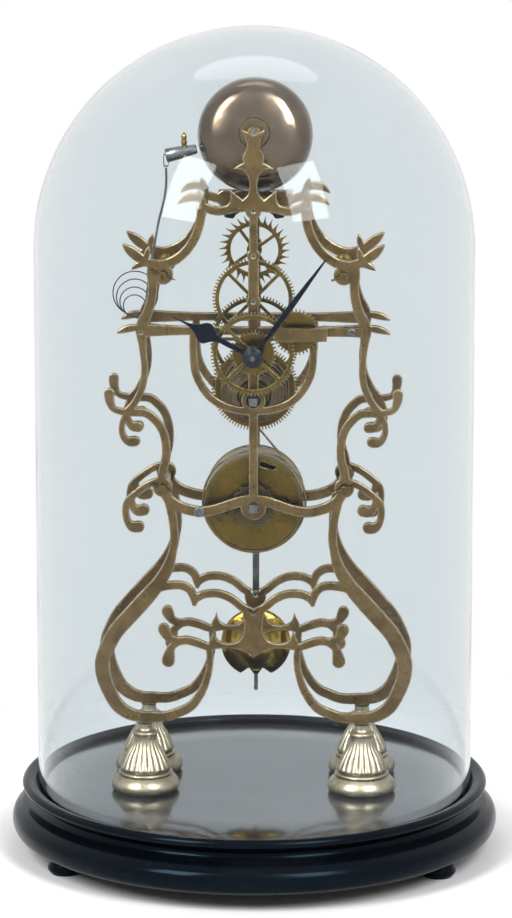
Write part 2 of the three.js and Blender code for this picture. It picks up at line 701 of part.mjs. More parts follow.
function escapeWheel() {
  const tooth = sloped(escapeTipRadius, escapeToothDepth);
  const root = escapeTipRadius - escapeToothDepth;
  return crossedWheel(escapeZ, escapeTeeth, tooth, root, wheelSpokes, Math.PI / 5, arborRadius, escapeWheelY);
}

// An arbor in steps of [radius, from y], ending at the last y
function arbor(x, z, steps, endY) {
  const profile = [[0, steps[0][1]]];
  steps.forEach(([radius, y], i) => {
    const next = i + 1 < steps.length ? steps[i + 1][1] : endY;
    profile.push([radius, y], [radius, next]);
  });
  profile.push([0, endY]);
  return turnedY(profile, x, z, pinRound);
}

// An arbor of one thickness between the plates, with a pivot in each, the back one ending at endY
function pivotedArbor(x, z, radius, backY = innerY, endY = outerY) {
  const steps = [[pivotRadius, -outerY], [radius, -innerY + seatGap], [pivotRadius, backY - seatGap]];
  return arbor(x, z, steps, endY);
}

const leafPinion = (x, z, leaves, tip, y0, y1) =>
  slab(toothed(x, z, leaves, [[0, tip * 0.72], [0.5, tip]]), y0, y1);

function escapeArbor() {
  const pinionEnd = thirdWheelY + wheelThickness + wheelSpace;
  return join(
    pivotedArbor(0, escapeZ, thinArborRadius),
    leafPinion(0, escapeZ, finePinionLeaves, escapePinionRadius, thirdWheelY - wheelSpace, pinionEnd),
  );
}

function thirdArbor() {
  const pinionFront = centreWheelY - wheelSpace / 2;
  return join(
    pivotedArbor(0, thirdZ, thinArborRadius),
    leafPinion(0, thirdZ, pinionLeaves, thirdPinionRadius, pinionFront, innerY - wheelSpace / 2),
  );
}

const lifterY = -innerY / 5;
const lifterFrontY = lifterY - tailHalf / 2;

function centreArbor() {
  const finger = block(-tailHalf, tailHalf, lifterFrontY, lifterFrontY + tailHalf, 0, lifterRadius);
  const pinionFront = greatWheelY - wheelSpace / 2;
  finger.rotateY(minuteAngle);
  finger.translate(0, 0, centreZ);
  return join(
    arbor(0, centreZ, [[arborRadius, hubFrontY - wheelSpace], [pivotRadius, innerY - seatGap]], outerY),
    leafPinion(0, centreZ, pinionLeaves, centrePinionRadius, pinionFront, centreWheelY - seatGap),
    disc(0, centreZ, collarRadius, lifterY - tailHalf, lifterY + tailHalf, smallRound),
    finger,
  );
}

// The fusee: a waisted cone whose radius at each depth sets the line's winding
function fuseeRadiusAt(y) {
  const share = (y - fuseeFrontY) / fuseeLength;
  return fuseeSmallRadius + (fuseeLargeRadius - fuseeSmallRadius) * share ** 1.4;
}

function fuseeCone() {
  const rings = 6;
  const side = Array.from({ length: rings + 1 }, (_, i) => {
    const y = fuseeFrontY + (fuseeLength * i) / rings;
    return [fuseeRadiusAt(y), y];
  });
  const bore = windingArborRadius + seatGap;
  const front = fuseeFrontY;
  return turnedY([[bore, front], ...side, [bore, fuseeBackY], [bore, front]], 0, fuseeZ, midRound);
}

const windingSquare = (z, reach) =>
  block(-squareHalf, squareHalf, -outerY - reach * squareHalf, -outerY, z - squareHalf, z + squareHalf);

function fuseeArbor() {
  const steps = [[windingArborRadius, -outerY], [arborRadius, greatWheelY + greatThickness + seatGap],
    [pivotRadius, innerY - seatGap]];
  return join(arbor(0, fuseeZ, steps, outerY), windingSquare(fuseeZ, 2.2));
}

// The line: wound on the fusee, then crossing to the barrel and lapped round it
function linePoints() {
  const stand = seatGap + lineRadius;
  const small = fuseeRadiusAt(fuseeFrontY + linePitch) + stand;
  const large = barrelRadius + stand;
  const tilt = Math.asin((small + large) / (fuseeZ - barrelZ));
  const leave = Math.PI + Math.PI / 2 - (Math.PI / 2 - tilt);
  const points = [];
  const loopSteps = 10;
  const turns = lineTurns * loopSteps;
  const startY = fuseeFrontY + linePitch;
  for (let i = turns; i >= 0; i--) {
    const y = startY + (linePitch * i) / loopSteps;
    const a = leave - (2 * Math.PI * i) / loopSteps;
    const r = (fuseeRadiusAt(y) + stand) / Math.cos(Math.PI / loopSteps);
    points.push(new THREE.Vector3(r * Math.cos(a), y, fuseeZ + r * Math.sin(a)));
  }
  const barrelSteps = 16;
  const meet = leave - Math.PI;
  const lap = large / Math.cos(Math.PI / barrelSteps);
  for (let i = 0; i <= barrelLap * barrelSteps; i++) {
    const a = meet - (2 * Math.PI * i) / barrelSteps;
    const y = startY + (linePitch * i) / barrelSteps;
    points.push(new THREE.Vector3(lap * Math.cos(a), y, barrelZ + lap * Math.sin(a)));
  }
  return points;
}

const fuseeLinePoints = linePoints();
console.log("least gap in the fusee line", leastGap(fuseeLinePoints, lineRadius, 6).toFixed(2), "mm");

// The going barrel, its cover with the window to the spring, the spring and the arbor
const springWindowShares = [[0.11, 0.82], [0.44, 0.74], [0.5, 0.82], [0.12, 0.95]];

function barrelDrum() {
  const bore = windingArborRadius + seatGap;
  const inner = barrelRadius - barrelWall;
  const floorY = barrelBackY - barrelWall;
  return turnedY(
    [[bore, floorY], [inner, floorY], [inner, barrelFrontY], [barrelRadius, barrelFrontY],
      [barrelRadius, barrelBackY], [bore, barrelBackY], [bore, floorY]],
    0, barrelZ, fineRound,
  );
}

function barrelCover() {
  const radius = barrelRadius - barrelWall - seatGap;
  const y = barrelFrontY + barrelWall;
  const window = springWindowShares.map(([x, z]) => [x * radius, barrelZ + z * radius]);
  return slab(circle(0, barrelZ, radius, fineRound), y, y + barrelWall,
    [circle(0, barrelZ, windingArborRadius + seatGap, smallRound), window]);
}

function mainspring() {
  const inner = windingArborRadius + 2 * springHalf + seatGap;
  const outer = barrelRadius - barrelWall - springHalf - seatGap;
  const steps = 10;
  const stations = Array.from({ length: springTurns * steps + 1 }, (_, i) => {
    const a = (2 * Math.PI * i) / steps;
    const r = inner + ((outer - inner) * i) / (springTurns * steps);
    return [r * Math.cos(a), barrelZ + r * Math.sin(a), springHalf];
  });
  return ribbon(stations, 0, barrelFrontY + 2 * barrelWall + seatGap, barrelBackY - barrelWall - seatGap);
}

const ratchetY = -innerY + seatGap;

function barrelArbor() {
  const steps = [[windingArborRadius, -outerY], [pivotRadius, innerY - seatGap]];
  return join(arbor(0, barrelZ, steps, outerY), windingSquare(barrelZ, 2));
}

function ratchetWheel() {
  const teeth = toothed(0, barrelZ, ratchetTeeth, sloped(ratchetRadius, toothDepth));
  const bore = circle(0, barrelZ, windingArborRadius + seatGap, smallRound);
  return slab(teeth, ratchetY, ratchetY + ratchetThickness, [bore]);
}

const clickZ = zAt(yokeShares[3][1]);

function clickPawl() {
  const noseX = -ratchetRadius - 2 * seatGap;
  const noseZ = clickZ - clickHalf;
  const stations = [[-clickReach - clickHalf, clickZ, clickHalf], [-clickReach, clickZ, clickHalf * 1.2],
    [(noseX - clickReach) / 2, noseZ, clickHalf * 0.8], [noseX, noseZ, clickHalf * 0.4]];
  const bore = circle(-clickReach, clickZ, pivotRadius + seatGap, pinRound);
  return slab(ribbonOutline(stations, 6), ratchetY, ratchetY + ratchetThickness, [bore]);
}

// A screw along Y, with its head in front of seatY and its shank back to endY
function screw(x, z, headRadius, seatY, endY) {
  const front = seatY - screwHeadHeight;
  const profile = [[0, front], [headRadius * 0.85, front], [headRadius, seatY - screwHeadHeight * 0.7],
    [headRadius, seatY], [pivotRadius, seatY], [pivotRadius, endY], [0, endY]];
  return turnedY(profile, x, z, smallRound);
}

const clickScrew = () =>
  screw(-clickReach, clickZ, screwHeadRadius, -outerY, ratchetY + ratchetThickness + seatGap);

// Motion work: the cannon wheel drives the motion wheel, whose pinion drives the hour wheel
function pipe(inner, outer, y0, y1) {
  return slab(circle(0, centreZ, outer, smallRound), y0, y1, [circle(0, centreZ, inner, smallRound)]);
}

const cannonBore = arborRadius + seatGap;
const cannonOuter = cannonBore + pipeWall;
const hourBore = cannonOuter + seatGap;
const hourOuter = hourBore + pipeWall;

function cannonWheel() {
  return join(
    solidWheel(centreZ, dialTeeth, dialRadius, arborRadius, dialWheelY, wheelThickness),
    pipe(cannonBore, cannonOuter, minuteHandY, dialWheelY + wheelThickness / 2),
  );
}

// The hour wheel is crossed out, so that the fusee shows behind it
function hourWheel() {
  const rim = hourRadius - toothDepth - rimWall;
  const holes = [
    circle(0, centreZ, hourBore, smallRound),
    ...crossings(0, centreZ, rim, hourOuter + spokeWidth / 2, wheelSpokes, Math.PI / wheelSpokes),
  ];
  const outline = toothed(0, centreZ, hourTeeth, plain(hourRadius, toothDepth));
  return join(
    slab(outline, hourWheelY, hourWheelY + wheelThickness, holes),
    pipe(hourBore, hourOuter, hourHandY, hourWheelY + wheelThickness / 2),
  );
}

function motionWheel() {
  const teeth = toothed(motionX, motionZ, dialTeeth, plain(dialRadius, toothDepth));
  const pinionFront = hourWheelY - wheelSpace / 3;
  const pinionBack = dialWheelY + wheelThickness / 2;
  return join(
    slab(teeth, dialWheelY, dialWheelY + wheelThickness),
    leafPinion(motionX, motionZ, finePinionLeaves, motionPinionRadius, pinionFront, pinionBack),
    arbor(motionX, motionZ, [[pivotRadius, cockBlockY - cockBlockDepth / 2]], -plateMidY),
  );
}

const cockScrewX = cockLength - 2.2 * screwHeadRadius;

function motionCock() {
  const bottom = motionZ - cockBlockHeight / 2;
  const top = motionZ + cockBlockHeight / 2;
  const footHalf = cockBlockHeight / 3;
  const footFront = -outerY - cockFootThickness;
  const legX = motionX + dialRadius + wheelThickness;
  const legEndX = legX + 2 * wheelThickness;
  const front = cockBlockY - cockBlockDepth;
  const body = join(
    block(motionX / 2, legEndX, front, cockBlockY, bottom, top),
    block(legX, legEndX, front, -outerY, bottom, top),
    block(legX, cockLength, footFront, -outerY, motionZ - footHalf, motionZ + footHalf),
  );
  const bore = pivotRadius + seatGap;
  return cut(
    body,
    disc(motionX, motionZ, bore, front + overrun, cockBlockY + overrun, pinRound),
    disc(cockScrewX, motionZ, bore, footFront - overrun, -outerY + overrun, pinRound),
  );
}

const cockScrew = () =>
  screw(cockScrewX, motionZ, screwHeadRadius * 0.8, -outerY - cockFootThickness, -outerY);

// Hands: stations along the hand as [distance, half width], as shares of its length
const hourHandShares = [[0.03, 0.022], [0.44, 0.022], [0.5, 0.06], [0.56, 0.118], [0.62, 0.11], [0.7, 0.05],
  [0.78, 0.02], [1, 0.006]];
const minuteHandShares = [[0.03, 0.013], [0.25, 0.018], [0.5, 0.025], [0.8, 0.016], [1, 0.006]];

function hand(shares, length, bore, y, angle) {
  const stations = shares.map(([along, half]) => [0, along * length, half * length]);
  const blade = join(
    ribbon(stations, shares.length + 2, 0, handThickness),
    disc(0, 0, bore * 1.5, 0, handThickness),
  );
  const bored = cut(blade, disc(0, 0, bore + seatGap, -overrun, handThickness + overrun));
  bored.rotateY(angle);
  bored.translate(0, y, centreZ);
  return bored;
}

function handCollet() {
  const back = minuteHandY - seatGap;
  const bore = arborRadius + seatGap;
  const profile = [[bore, back], [bore, back - wheelSpace * 0.7],
    [cannonOuter * 1.7, back - wheelSpace * 0.5], [cannonOuter * 1.9, back], [bore, back]];
  return turnedY(profile, 0, centreZ, smallRound);
}

// Escapement: the anchor clears the escape wheel's tip circle at every swing
function anchorBody() {
  const nibX = escapeTipRadius * 0.59;
  const reach = escapeTipRadius + nibGap;
  const nibZ = escapeZ + Math.sqrt(reach ** 2 - nibX ** 2) - palletZ;
  const bore = thinArborRadius + seatGap;
  const right = [[anchorSpan, nibZ + nibGap], [nibX, nibZ], [nibX * 0.88, nibZ * 0.7],
    [nibX * 0.45, -bore * 1.8]];
  const top = [[anchorSpan * 0.85, nibZ * 0.3], [anchorSpan * 0.45, bore * 1.5]];
  const outline = [...top.slice().reverse(), ...right, ...right.slice().reverse().map(([x, z]) => [-x, z]),
    ...top.map(([x, z]) => [-x, z]), [0, bore * 2.4]];
  const shape = slab(outline, -anchorThickness / 2, anchorThickness / 2, [circle(0, 0, bore, pinRound)]);
  shape.translate(0, 0, palletZ);
  return shape;
}

const crutchY = outerY + seatGap + wheelSpace / 2;
const cockBarY = crutchY + crutchThickness + wheelSpace;
const pendulumY = outerY + pendulumBack;

const palletArbor = () => pivotedArbor(0, palletZ, thinArborRadius, cockBarY, cockBarY + cockBar);

function crutch() {
  const forkZ = palletZ - crutchLength;
  const prongX = rodWidth / 2 + seatGap + crutchThickness / 2;
  const t = crutchThickness;
  const stations = [[0, palletZ + 2 * t, t * 2], [0, palletZ - 3 * t, t], [0, forkZ + t, t],
    [0, forkZ, prongX + t], [0, forkZ - t, prongX + t]];
  const stem = ribbon(stations, 0, crutchY, crutchY + t);
  const prongs = [prongX, -prongX].map((x) =>
    block(x - t / 2, x + t / 2, crutchY, pendulumY + rodThickness, forkZ - t, forkZ));
  const boreRadius = thinArborRadius + seatGap;
  const bore = disc(0, palletZ, boreRadius, crutchY - overrun, crutchY + t + overrun, pinRound);
  return cut(join(stem, ...prongs), bore);
}

// The pendulum's cock stands on the back plate's lugs, and its chops hold the suspension
const chopBottomZ = palletZ + seatGap * 8;
const chopTopZ = chopBottomZ + stripWidth * 1.8;

function pendulumCock() {
  const legHalf = cockLugRadius * 0.8;
  const backY = cockBarY + cockBar;
  const bottom = palletZ - legHalf;
  const top = palletZ + legHalf;
  const legs = [cockLugSpread, -cockLugSpread].map((x) =>
    block(x - legHalf, x + legHalf, outerY, backY, bottom, top));
  const bar = block(-cockLugSpread, cockLugSpread, cockBarY, backY, bottom, top);
  const chopBackY = pendulumY + stripWidth / 2 + cockBar / 2;
  const chop = block(-chopWidth / 2, chopWidth / 2, cockBarY, chopBackY, chopBottomZ, chopTopZ);
  const slitHalf = stripThickness / 2 + 2 * seatGap; // the strip's top swings with the pendulum
  const slitY = pendulumY - stripWidth / 2 - seatGap;
  return cut(
    join(...legs, bar, chop),
    disc(0, palletZ, pivotRadius + seatGap, cockBarY - overrun, backY + overrun, pinRound),
    block(-slitHalf, slitHalf, slitY, chopBackY + overrun, chopBottomZ - overrun, chopTopZ - stripWidth / 2),
  );
}

const stripTopZ = chopTopZ - stripWidth / 2 - seatGap;
const rodTopZ = stripTopZ - stripLength - seatGap;
const bobZ = zAt(bobShare);

function suspensionSpring() {
  const half = stripThickness / 2;
  const y = pendulumY - stripWidth / 2;
  return block(-half, half, y, y + stripWidth, stripTopZ - stripLength, stripTopZ);
}

const flatEndZ = bobZ - bobRadius + bobNotchHeight - 2 * seatGap;

function pendulumRod() {
  const half = rodThickness / 2;
  const top = flatEndZ + seatGap;
  const end = top - threadLength;
  const clampX = rodWidth * 0.7;
  const clampY = pendulumY - stripWidth / 2;
  return join(
    block(-rodWidth / 2, rodWidth / 2, pendulumY - half, pendulumY + half, flatEndZ, rodTopZ),
    block(-clampX, clampX, clampY, clampY + stripWidth, rodTopZ - rodWidth, rodTopZ),
    turnedZ([[0, end], [threadRadius, end], [threadRadius, top], [0, top]], 0, pendulumY, pinRound),
  );
}

function pendulumBob() {
  const side = [[bobRadius, bobEdge], [bobRadius * 0.8, bobHalfThickness * 0.5],
    [bobRadius * 0.5, bobHalfThickness * 0.82], [0, bobHalfThickness]];
  const lens = turnedY([...side.map(([r, y]) => [r, -y]).reverse(), ...side], 0, bobZ, midRound);
  lens.translate(0, pendulumY, 0);
  const bottom = bobZ - bobRadius;
  const notchX = bobNotchWidth / 2;
  const [y0, y1] = [pendulumY - bobHalfThickness, pendulumY + bobHalfThickness];
  const half = rodThickness / 2 + seatGap;
  const slotX = rodWidth / 2 + seatGap;
  return cut(
    lens,
    block(-slotX, slotX, pendulumY - half, pendulumY + half, bottom - overrun, bobZ + bobRadius + overrun),
    block(-notchX, notchX, y0, y1, bottom - overrun, bottom + bobNotchHeight),
  );
}

function ratingNut() {
  const top = flatEndZ - seatGap;
  const under = top - nutHeight;
  const bore = threadRadius + seatGap;
  return turnedZ([[bore, under], [nutRadius, under], [nutRadius, top], [bore, top], [bore, under]],
    0, pendulumY, smallRound);
}

// The bell stands on a bracket from the back plate, with its mouth to the back
const bellMouthY = innerY - bellMouthBack;
const bellCrownY = bellMouthY - bellDepth;
const bellFootTopZ = bellZ - bellRadius + 4 * standThickness;

// Turns what is on the bell's axis up with it, about the middle of its mouth
function tilted(geometry) {
  geometry.translate(0, -bellMouthY, -bellZ);
  geometry.rotateX(-bellTilt);
  geometry.translate(0, bellMouthY, bellZ);
  return geometry;
}

const bellShapeShares = [[1, 0], [0.985, 0.25], [0.93, 0.55], [0.78, 0.84], [0.5, 0.97]];

function bell() {
  const outer = bellShapeShares.map(([r, d]) => [r * bellRadius, bellMouthY - d * bellDepth]);
  const inner = bellShapeShares.filter((_, i) => i !== 1).map(([r, d]) =>
    [r * bellRadius - bellWall, bellMouthY - d * (bellDepth - bellWall)]);
  const bore = bellStudRadius + seatGap;
  const bossY = bellCrownY - bellBossRise;
  const crown = [[bellBossRadius, bellCrownY], [bellBossRadius * 0.9, bossY], [bore, bossY]];
  const roof = [[bore, bellCrownY + bellWall], [bellBossRadius, bellCrownY + bellWall]];
  const profile = [...outer, ...crown, ...roof, ...inner.reverse(), outer[0]].reverse();
  return tilted(turnedY(profile, 0, bellZ, fineRound));
}

function bellStand() {
  const footZ = palletZ + cockLugRadius * 2;
  const studEndY = bellCrownY - bellBossRise - 2 * standThickness;
  const collarY = bellCrownY + bellWall + seatGap;
  return join(
    block(-standWidth / 2, standWidth / 2, outerY, outerY + standThickness, footZ, bellZ + standThickness),
    tilted(disc(0, bellZ, bellStudRadius, studEndY, outerY + overrun)),
    tilted(disc(0, bellZ, bellBossRadius * 0.6, collarY, collarY + standThickness)),
  );
}

function bellNut() {
  const back = bellCrownY - bellBossRise - seatGap;
  const bore = bellStudRadius + seatGap;
  const front = back - standThickness;
  const side = bellBossRadius * 0.45;
  return tilted(turnedY([[bore, front], [side * 0.9, front], [side, front + standThickness / 2], [side, back],
    [bore, back], [bore, front]], 0, bellZ, smallRound));
}

// The hammer: an arbor with its lifting tail, a bent rod and a head with an acorn
const hammerY = innerY - hammerPlaneRoom;
const headStart = bellRadius + strikeGap;
const alongHead = (distance, drop = 0) => [
  -distance * Math.cos(headSlope) - drop * Math.sin(headSlope),
  bellZ - distance * Math.sin(headSlope) - drop * Math.cos(headSlope),
];
const headEnd = alongHead(headStart + headLength);
// Points of the rod, from the head down, as shares of the way across and down to the arbor
const hammerRodShares = [[0, 0], [0, 0.11], [0.1, 0.22], [0.33, 0.36], [0.5, 0.5], [0.75, 0.72],
  [0.86, 0.86], [1, 1]];

function hammerRod() {
  const topZ = headEnd[1] - headRadius * 1.9;
  const bottomZ = hammerZ + hammerArborRadius * 2.2;
  const points = hammerRodShares.map(([x, z]) =>
    new THREE.Vector3(headEnd[0] + x * (hammerX - headEnd[0]), hammerY, topZ + z * (bottomZ - topZ)));
  const curve = new THREE.CatmullRomCurve3(points);
  return wire(curve.getPoints(hammerRodShares.length + 2), hammerRodRadius, tinyRound);
}

function hammerHead() {
  const r = headRadius;
  const a = acornRadius;
  const h = acornHeight;
  const barProfile = [[0, 0], [r * 0.9, 0], [r, r * 0.2], [r, headLength], [0, headLength]];
  const bar = turnedY(barProfile, 0, 0, smallRound);
  bar.rotateZ(Math.PI / 2);
  bar.rotateY(-headSlope);
  const [x, z] = alongHead(headStart);
  bar.translate(x, hammerY, z);
  const lugHalf = r * 0.45;
  const [lugX, lugZ] = headEnd;
  const [lugY0, lugY1] = [hammerY - lugHalf, hammerY + lugHalf];
  const lug = block(lugX - lugHalf, lugX + lugHalf, lugY0, lugY1, lugZ - r * 1.8, lugZ);
  const [ax, az] = alongHead(headStart + headLength * 0.45, -r * 0.8);
  const acorn = turnedZ([[0, 0], [a * 0.5, 0], [a, h * 0.35], [a * 0.6, h * 0.5], [a * 0.9, h * 0.65],
    [a * 0.6, h * 0.9], [0, h]], ax, hammerY, pinRound);
  acorn.translate(0, 0, az);
  return join(bar, lug, acorn);
}

function hammerArbor() {
  const tailEndX = -tailHalf * 2.5;
  const tailEndZ = centreZ + lifterRadius + 2 * tailHalf;
  const tail = [[hammerX, hammerZ, tailHalf * 1.4], [hammerX / 2, (hammerZ + tailEndZ) / 2, tailHalf],
    [tailEndX, tailEndZ, tailHalf * 0.8]];
  return join(
    pivotedArbor(hammerX, hammerZ, hammerArborRadius),
    disc(hammerX, hammerZ, hammerArborRadius * 1.9, hammerY - tailHalf, hammerY + tailHalf, smallRound),
    ribbon(tail, 0, lifterFrontY, lifterFrontY + tailHalf),
  );
}

// The hammer's coil of thin wire: each loop is smaller than the last and touches the same level below
const coilFootZ = hammerZ + hammerArborRadius * 2 + coilWireRadius;
const coilX = hammerX - coilRadius * 0.3;

function coilPoints() {
  const loopSteps = 12;
  const points = [];
  const endY = innerY - seatGap - coilWireRadius;
  const frontY = hammerY - coilLoops * coilPitch - 2 * hammerRodRadius;
  for (let i = 0; i <= coilLoops * loopSteps; i++) {
    const turn = i / loopSteps;
    const a = -Math.PI / 2 + 2 * Math.PI * turn;
    const r = coilRadius - coilShrink * (coilLoops - turn);
    const z = coilFootZ + r + r * Math.sin(a);
    points.push(new THREE.Vector3(coilX + r * Math.cos(a), frontY + coilPitch * turn, z));
  }
  const { x, y, z } = points.at(-1);
  const endX = x + coilPitch;
  points.push(new THREE.Vector3(endX, y + coilPitch / 2, z - coilPitch / 2));
  points.push(new THREE.Vector3(endX, (y + endY) / 2, z - coilPitch));
  points.push(new THREE.Vector3(endX, endY, z - coilPitch));
  return points;
}

const hammerCoilPoints = coilPoints();
console.log("least gap in the hammer coil", leastGap(hammerCoilPoints, coilWireRadius, 6).toFixed(2), "mm");

place("wooden_base", woodenBase(), ebonised);
for (let i = 0; i < bunCount; i++) {
  place(`bun_foot_${i + 1}`, bunFoot(i), ebonised);
}
place("glass_dome", glassDome(), glassFinish);
place("front_plate", frontPlate(), agedBrass);
place("back_plate", backPlate(), agedBrass);
for (const [side, x] of [["left", -footX], ["right", footX]]) {
  place(`front_foot_${side}`, brassFoot(x, -plateMidY), brightBrass);
  place(`back_foot_${side}`, brassFoot(x, plateMidY), brightBrass);
}
["upper_left", "upper_right", "lower_left", "lower_right"].forEach((where, i) => {
  place(`pillar_${where}`, pillar(pillarPlaces[i]), brightBrass);
  place(`taper_pin_${where}`, taperPin(pillarPlaces[i], taperPinRadius, taperPinLength), steel);
});
place("barrel", barrelDrum(), agedBrass);
place("barrel_cover", barrelCover(), brightBrass);
place("mainspring", mainspring(), bluedSteel);
place("barrel_arbor", barrelArbor(), steel);
place("ratchet_wheel", ratchetWheel(), steel);
place("click", clickPawl(), steel);
place("click_screw", clickScrew(), steel);
place("fusee_cone", fuseeCone(), agedBrass);
place("great_wheel", greatWheel(), agedBrass);
place("fusee_arbor", fuseeArbor(), steel);
place("fusee_line", wire(fuseeLinePoints, lineRadius, 5), gut);
place("centre_wheel", centreWheel(), agedBrass);
place("centre_arbor", centreArbor(), steel);
place("third_wheel", thirdWheel(), agedBrass);
place("third_arbor", thirdArbor(), steel);
place("escape_wheel", escapeWheel(), brightBrass);
place("escape_arbor", escapeArbor(), steel);
place("cannon_wheel", cannonWheel(), brightBrass);
place("motion_wheel", motionWheel(), brightBrass);
place("hour_wheel", hourWheel(), brightBrass);
place("motion_cock", motionCock(), agedBrass);
place("motion_cock_screw", cockScrew(), steel);
place("hour_hand", hand(hourHandShares, hourHandLength, hourOuter, hourHandY, hourAngle), bluedSteel);
const minuteHand = hand(minuteHandShares, minuteHandLength, cannonOuter, minuteHandY, minuteAngle);
place("minute_hand", minuteHand, bluedSteel);
place("hand_collet", handCollet(), steel);
place("anchor", anchorBody(), bluedSteel);
place("pallet_arbor", palletArbor(), steel);
place("crutch", crutch(), steel);
place("pendulum_cock", pendulumCock(), agedBrass);
place("suspension_spring", suspensionSpring(), steel);
place("pendulum_rod", pendulumRod(), steel);
place("pendulum_bob", pendulumBob(), brightBrass);
place("rating_nut", ratingNut(), brightBrass);
place("bell", bell(), bellMetal);
place("bell_stand", bellStand(), steel);
place("bell_nut", bellNut(), brightBrass);
place("hammer_arbor", hammerArbor(), steel);
place("hammer_rod", hammerRod(), steel);
place("hammer_head", hammerHead(), brightBrass);
place("hammer_coil", wire(hammerCoilPoints, coilWireRadius, 5), steel);

export default clock;
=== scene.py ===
"""The looks of a skeleton clock under a glass dome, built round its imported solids."""

import json
import math

import bpy
import numpy as np
from mathutils import Matrix, Vector
from mathutils.geometry import delaunay_2d_cdt

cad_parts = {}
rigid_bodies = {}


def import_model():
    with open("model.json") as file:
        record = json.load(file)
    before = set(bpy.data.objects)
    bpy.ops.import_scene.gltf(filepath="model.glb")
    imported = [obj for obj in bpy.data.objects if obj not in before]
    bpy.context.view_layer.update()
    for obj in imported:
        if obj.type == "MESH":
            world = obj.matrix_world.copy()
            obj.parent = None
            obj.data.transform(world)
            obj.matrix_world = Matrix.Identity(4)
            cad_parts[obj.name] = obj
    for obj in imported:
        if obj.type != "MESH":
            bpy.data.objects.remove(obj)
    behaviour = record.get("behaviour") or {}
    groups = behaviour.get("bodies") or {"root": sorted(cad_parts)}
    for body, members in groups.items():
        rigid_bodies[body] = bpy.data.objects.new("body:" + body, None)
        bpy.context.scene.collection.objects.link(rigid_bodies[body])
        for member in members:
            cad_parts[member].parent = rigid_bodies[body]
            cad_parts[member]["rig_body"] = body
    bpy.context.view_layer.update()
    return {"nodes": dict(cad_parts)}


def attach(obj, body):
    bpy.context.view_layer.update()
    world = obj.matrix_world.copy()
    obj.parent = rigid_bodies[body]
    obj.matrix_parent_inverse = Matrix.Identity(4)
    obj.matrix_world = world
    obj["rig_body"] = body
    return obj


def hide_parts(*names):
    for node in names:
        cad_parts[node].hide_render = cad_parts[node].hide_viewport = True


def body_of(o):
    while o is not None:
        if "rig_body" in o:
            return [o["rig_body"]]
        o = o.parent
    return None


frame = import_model()

# Sizes in millimetres, as in the part's own source. The clock faces -Y.
MM = 0.001
SEAT = 0.3  # the room between pieces that sit on each other
MESH = 0.35  # the room between wheels where their teeth would meet
HOLE_ROOM = 0.15  # how much larger in radius a plate's hole is than what runs in it
FRAME_HEIGHT = 346.0
FRAME_HALF = 90.0
BAR = 10.0
PLATE = 3.4
INNER = 19.3
OUTER = INNER + PLATE
PLATE_MID = INNER + PLATE / 2
PLATFORM = 38.7
FOOT_HEIGHT = 39.5
FOOT_RADIUS = 19.6
FOOT_NECK = 6.3
FRAME_Z = PLATFORM + FOOT_HEIGHT + SEAT
BUN_HEIGHT = 8.0
BUN_RADIUS = 10.0
BASE_THICK = 30.7
DOME_RADIUS = 125.9
DOME_WALL = 2.6
RIM_RISE = 2.9
RIM_WIDTH = 7.7
TORUS = 6.0
GROOVE = 4.0
GROOVE_OUT = DOME_RADIUS + 1.5
GROOVE_IN = DOME_RADIUS - DOME_WALL - 1.5
RIM_RADIUS = GROOVE_OUT + RIM_WIDTH
BASE_RADIUS = RIM_RADIUS + TORUS


def at_height(share):
    return FRAME_Z + share * FRAME_HEIGHT


BARREL_Z = at_height(0.371)
FUSEE_Z = at_height(0.551)
CENTRE_Z = at_height(0.632)
THIRD_Z = at_height(0.7165)
ESCAPE_Z = at_height(0.792)
PALLET_Z = at_height(0.867)
BELL_Z = at_height(0.9755)
BELL_RADIUS = 33.0
BELL_DEPTH = 21.0
BELL_MOUTH = INNER - 2.3
BELL_TILT = math.radians(11)
BELL_WALL = 1.8
DOME_TOP = BELL_Z + BELL_RADIUS + 30.9

# Wheels: their thickness, and the radii over the teeth, each as the room that the next arbor's pinion leaves
WHEEL = 1.4
GREAT = 2.0
THIRD_PINION = 2.8
ESCAPE_PINION = 2.1
CENTRE_PINION = 2.4
MOTION_PINION = 2.4
CENTRE_RADIUS = THIRD_Z - CENTRE_Z - THIRD_PINION - MESH
THIRD_RADIUS = ESCAPE_Z - THIRD_Z - ESCAPE_PINION - MESH
GREAT_RADIUS = CENTRE_Z - FUSEE_Z - CENTRE_PINION - MESH
ESCAPE_TIP = 20.2
MOTION_X = 24.2
MOTION_RISE = 12.2
MOTION_Z = CENTRE_Z + MOTION_RISE
MOTION_REACH = math.hypot(MOTION_X, MOTION_RISE)
DIAL_RADIUS = (MOTION_REACH - MESH) / 2
HOUR_RADIUS = MOTION_REACH - MOTION_PINION - MESH
TOOTH = 1.7
RIM = 3.9  # from the tips of the teeth to the windows
HUB = 4.35
PIVOT = 0.9
ARBOR_BORE = 1.8
SQUARE_BORE = 3.3  # the bore of pieces round a winding arbor
CENTRE_Y = INNER - 2 * WHEEL
GREAT_Y = CENTRE_Y - WHEEL - GREAT
FUSEE_BACK = GREAT_Y - SEAT
FUSEE_LONG = 23.6
FUSEE_FRONT = FUSEE_BACK - FUSEE_LONG
FUSEE_SMALL = 8.4
FUSEE_LARGE = 20
LINE_RADIUS = 0.65
LINE_PITCH = 2.5
THIRD_Y = -INNER + 4 * WHEEL
ESCAPE_Y = -WHEEL / 2
BARREL_RADIUS = 28.6
BARREL_WALL = 1.5
BARREL_ROOM = 3.9  # from a plate to the barrel
BARREL_BACK = INNER - BARREL_ROOM + WHEEL
BARREL_FRONT = -INNER + BARREL_ROOM
DIAL_Y = -OUTER - 2 * SEAT - WHEEL
HOUR_Y = DIAL_Y - 2.5 * WHEEL
COCK_Y = HOUR_Y - WHEEL + SEAT
HAND = 1.0
HOUR_HAND_Y = COCK_Y - 3.6 - HAND - WHEEL
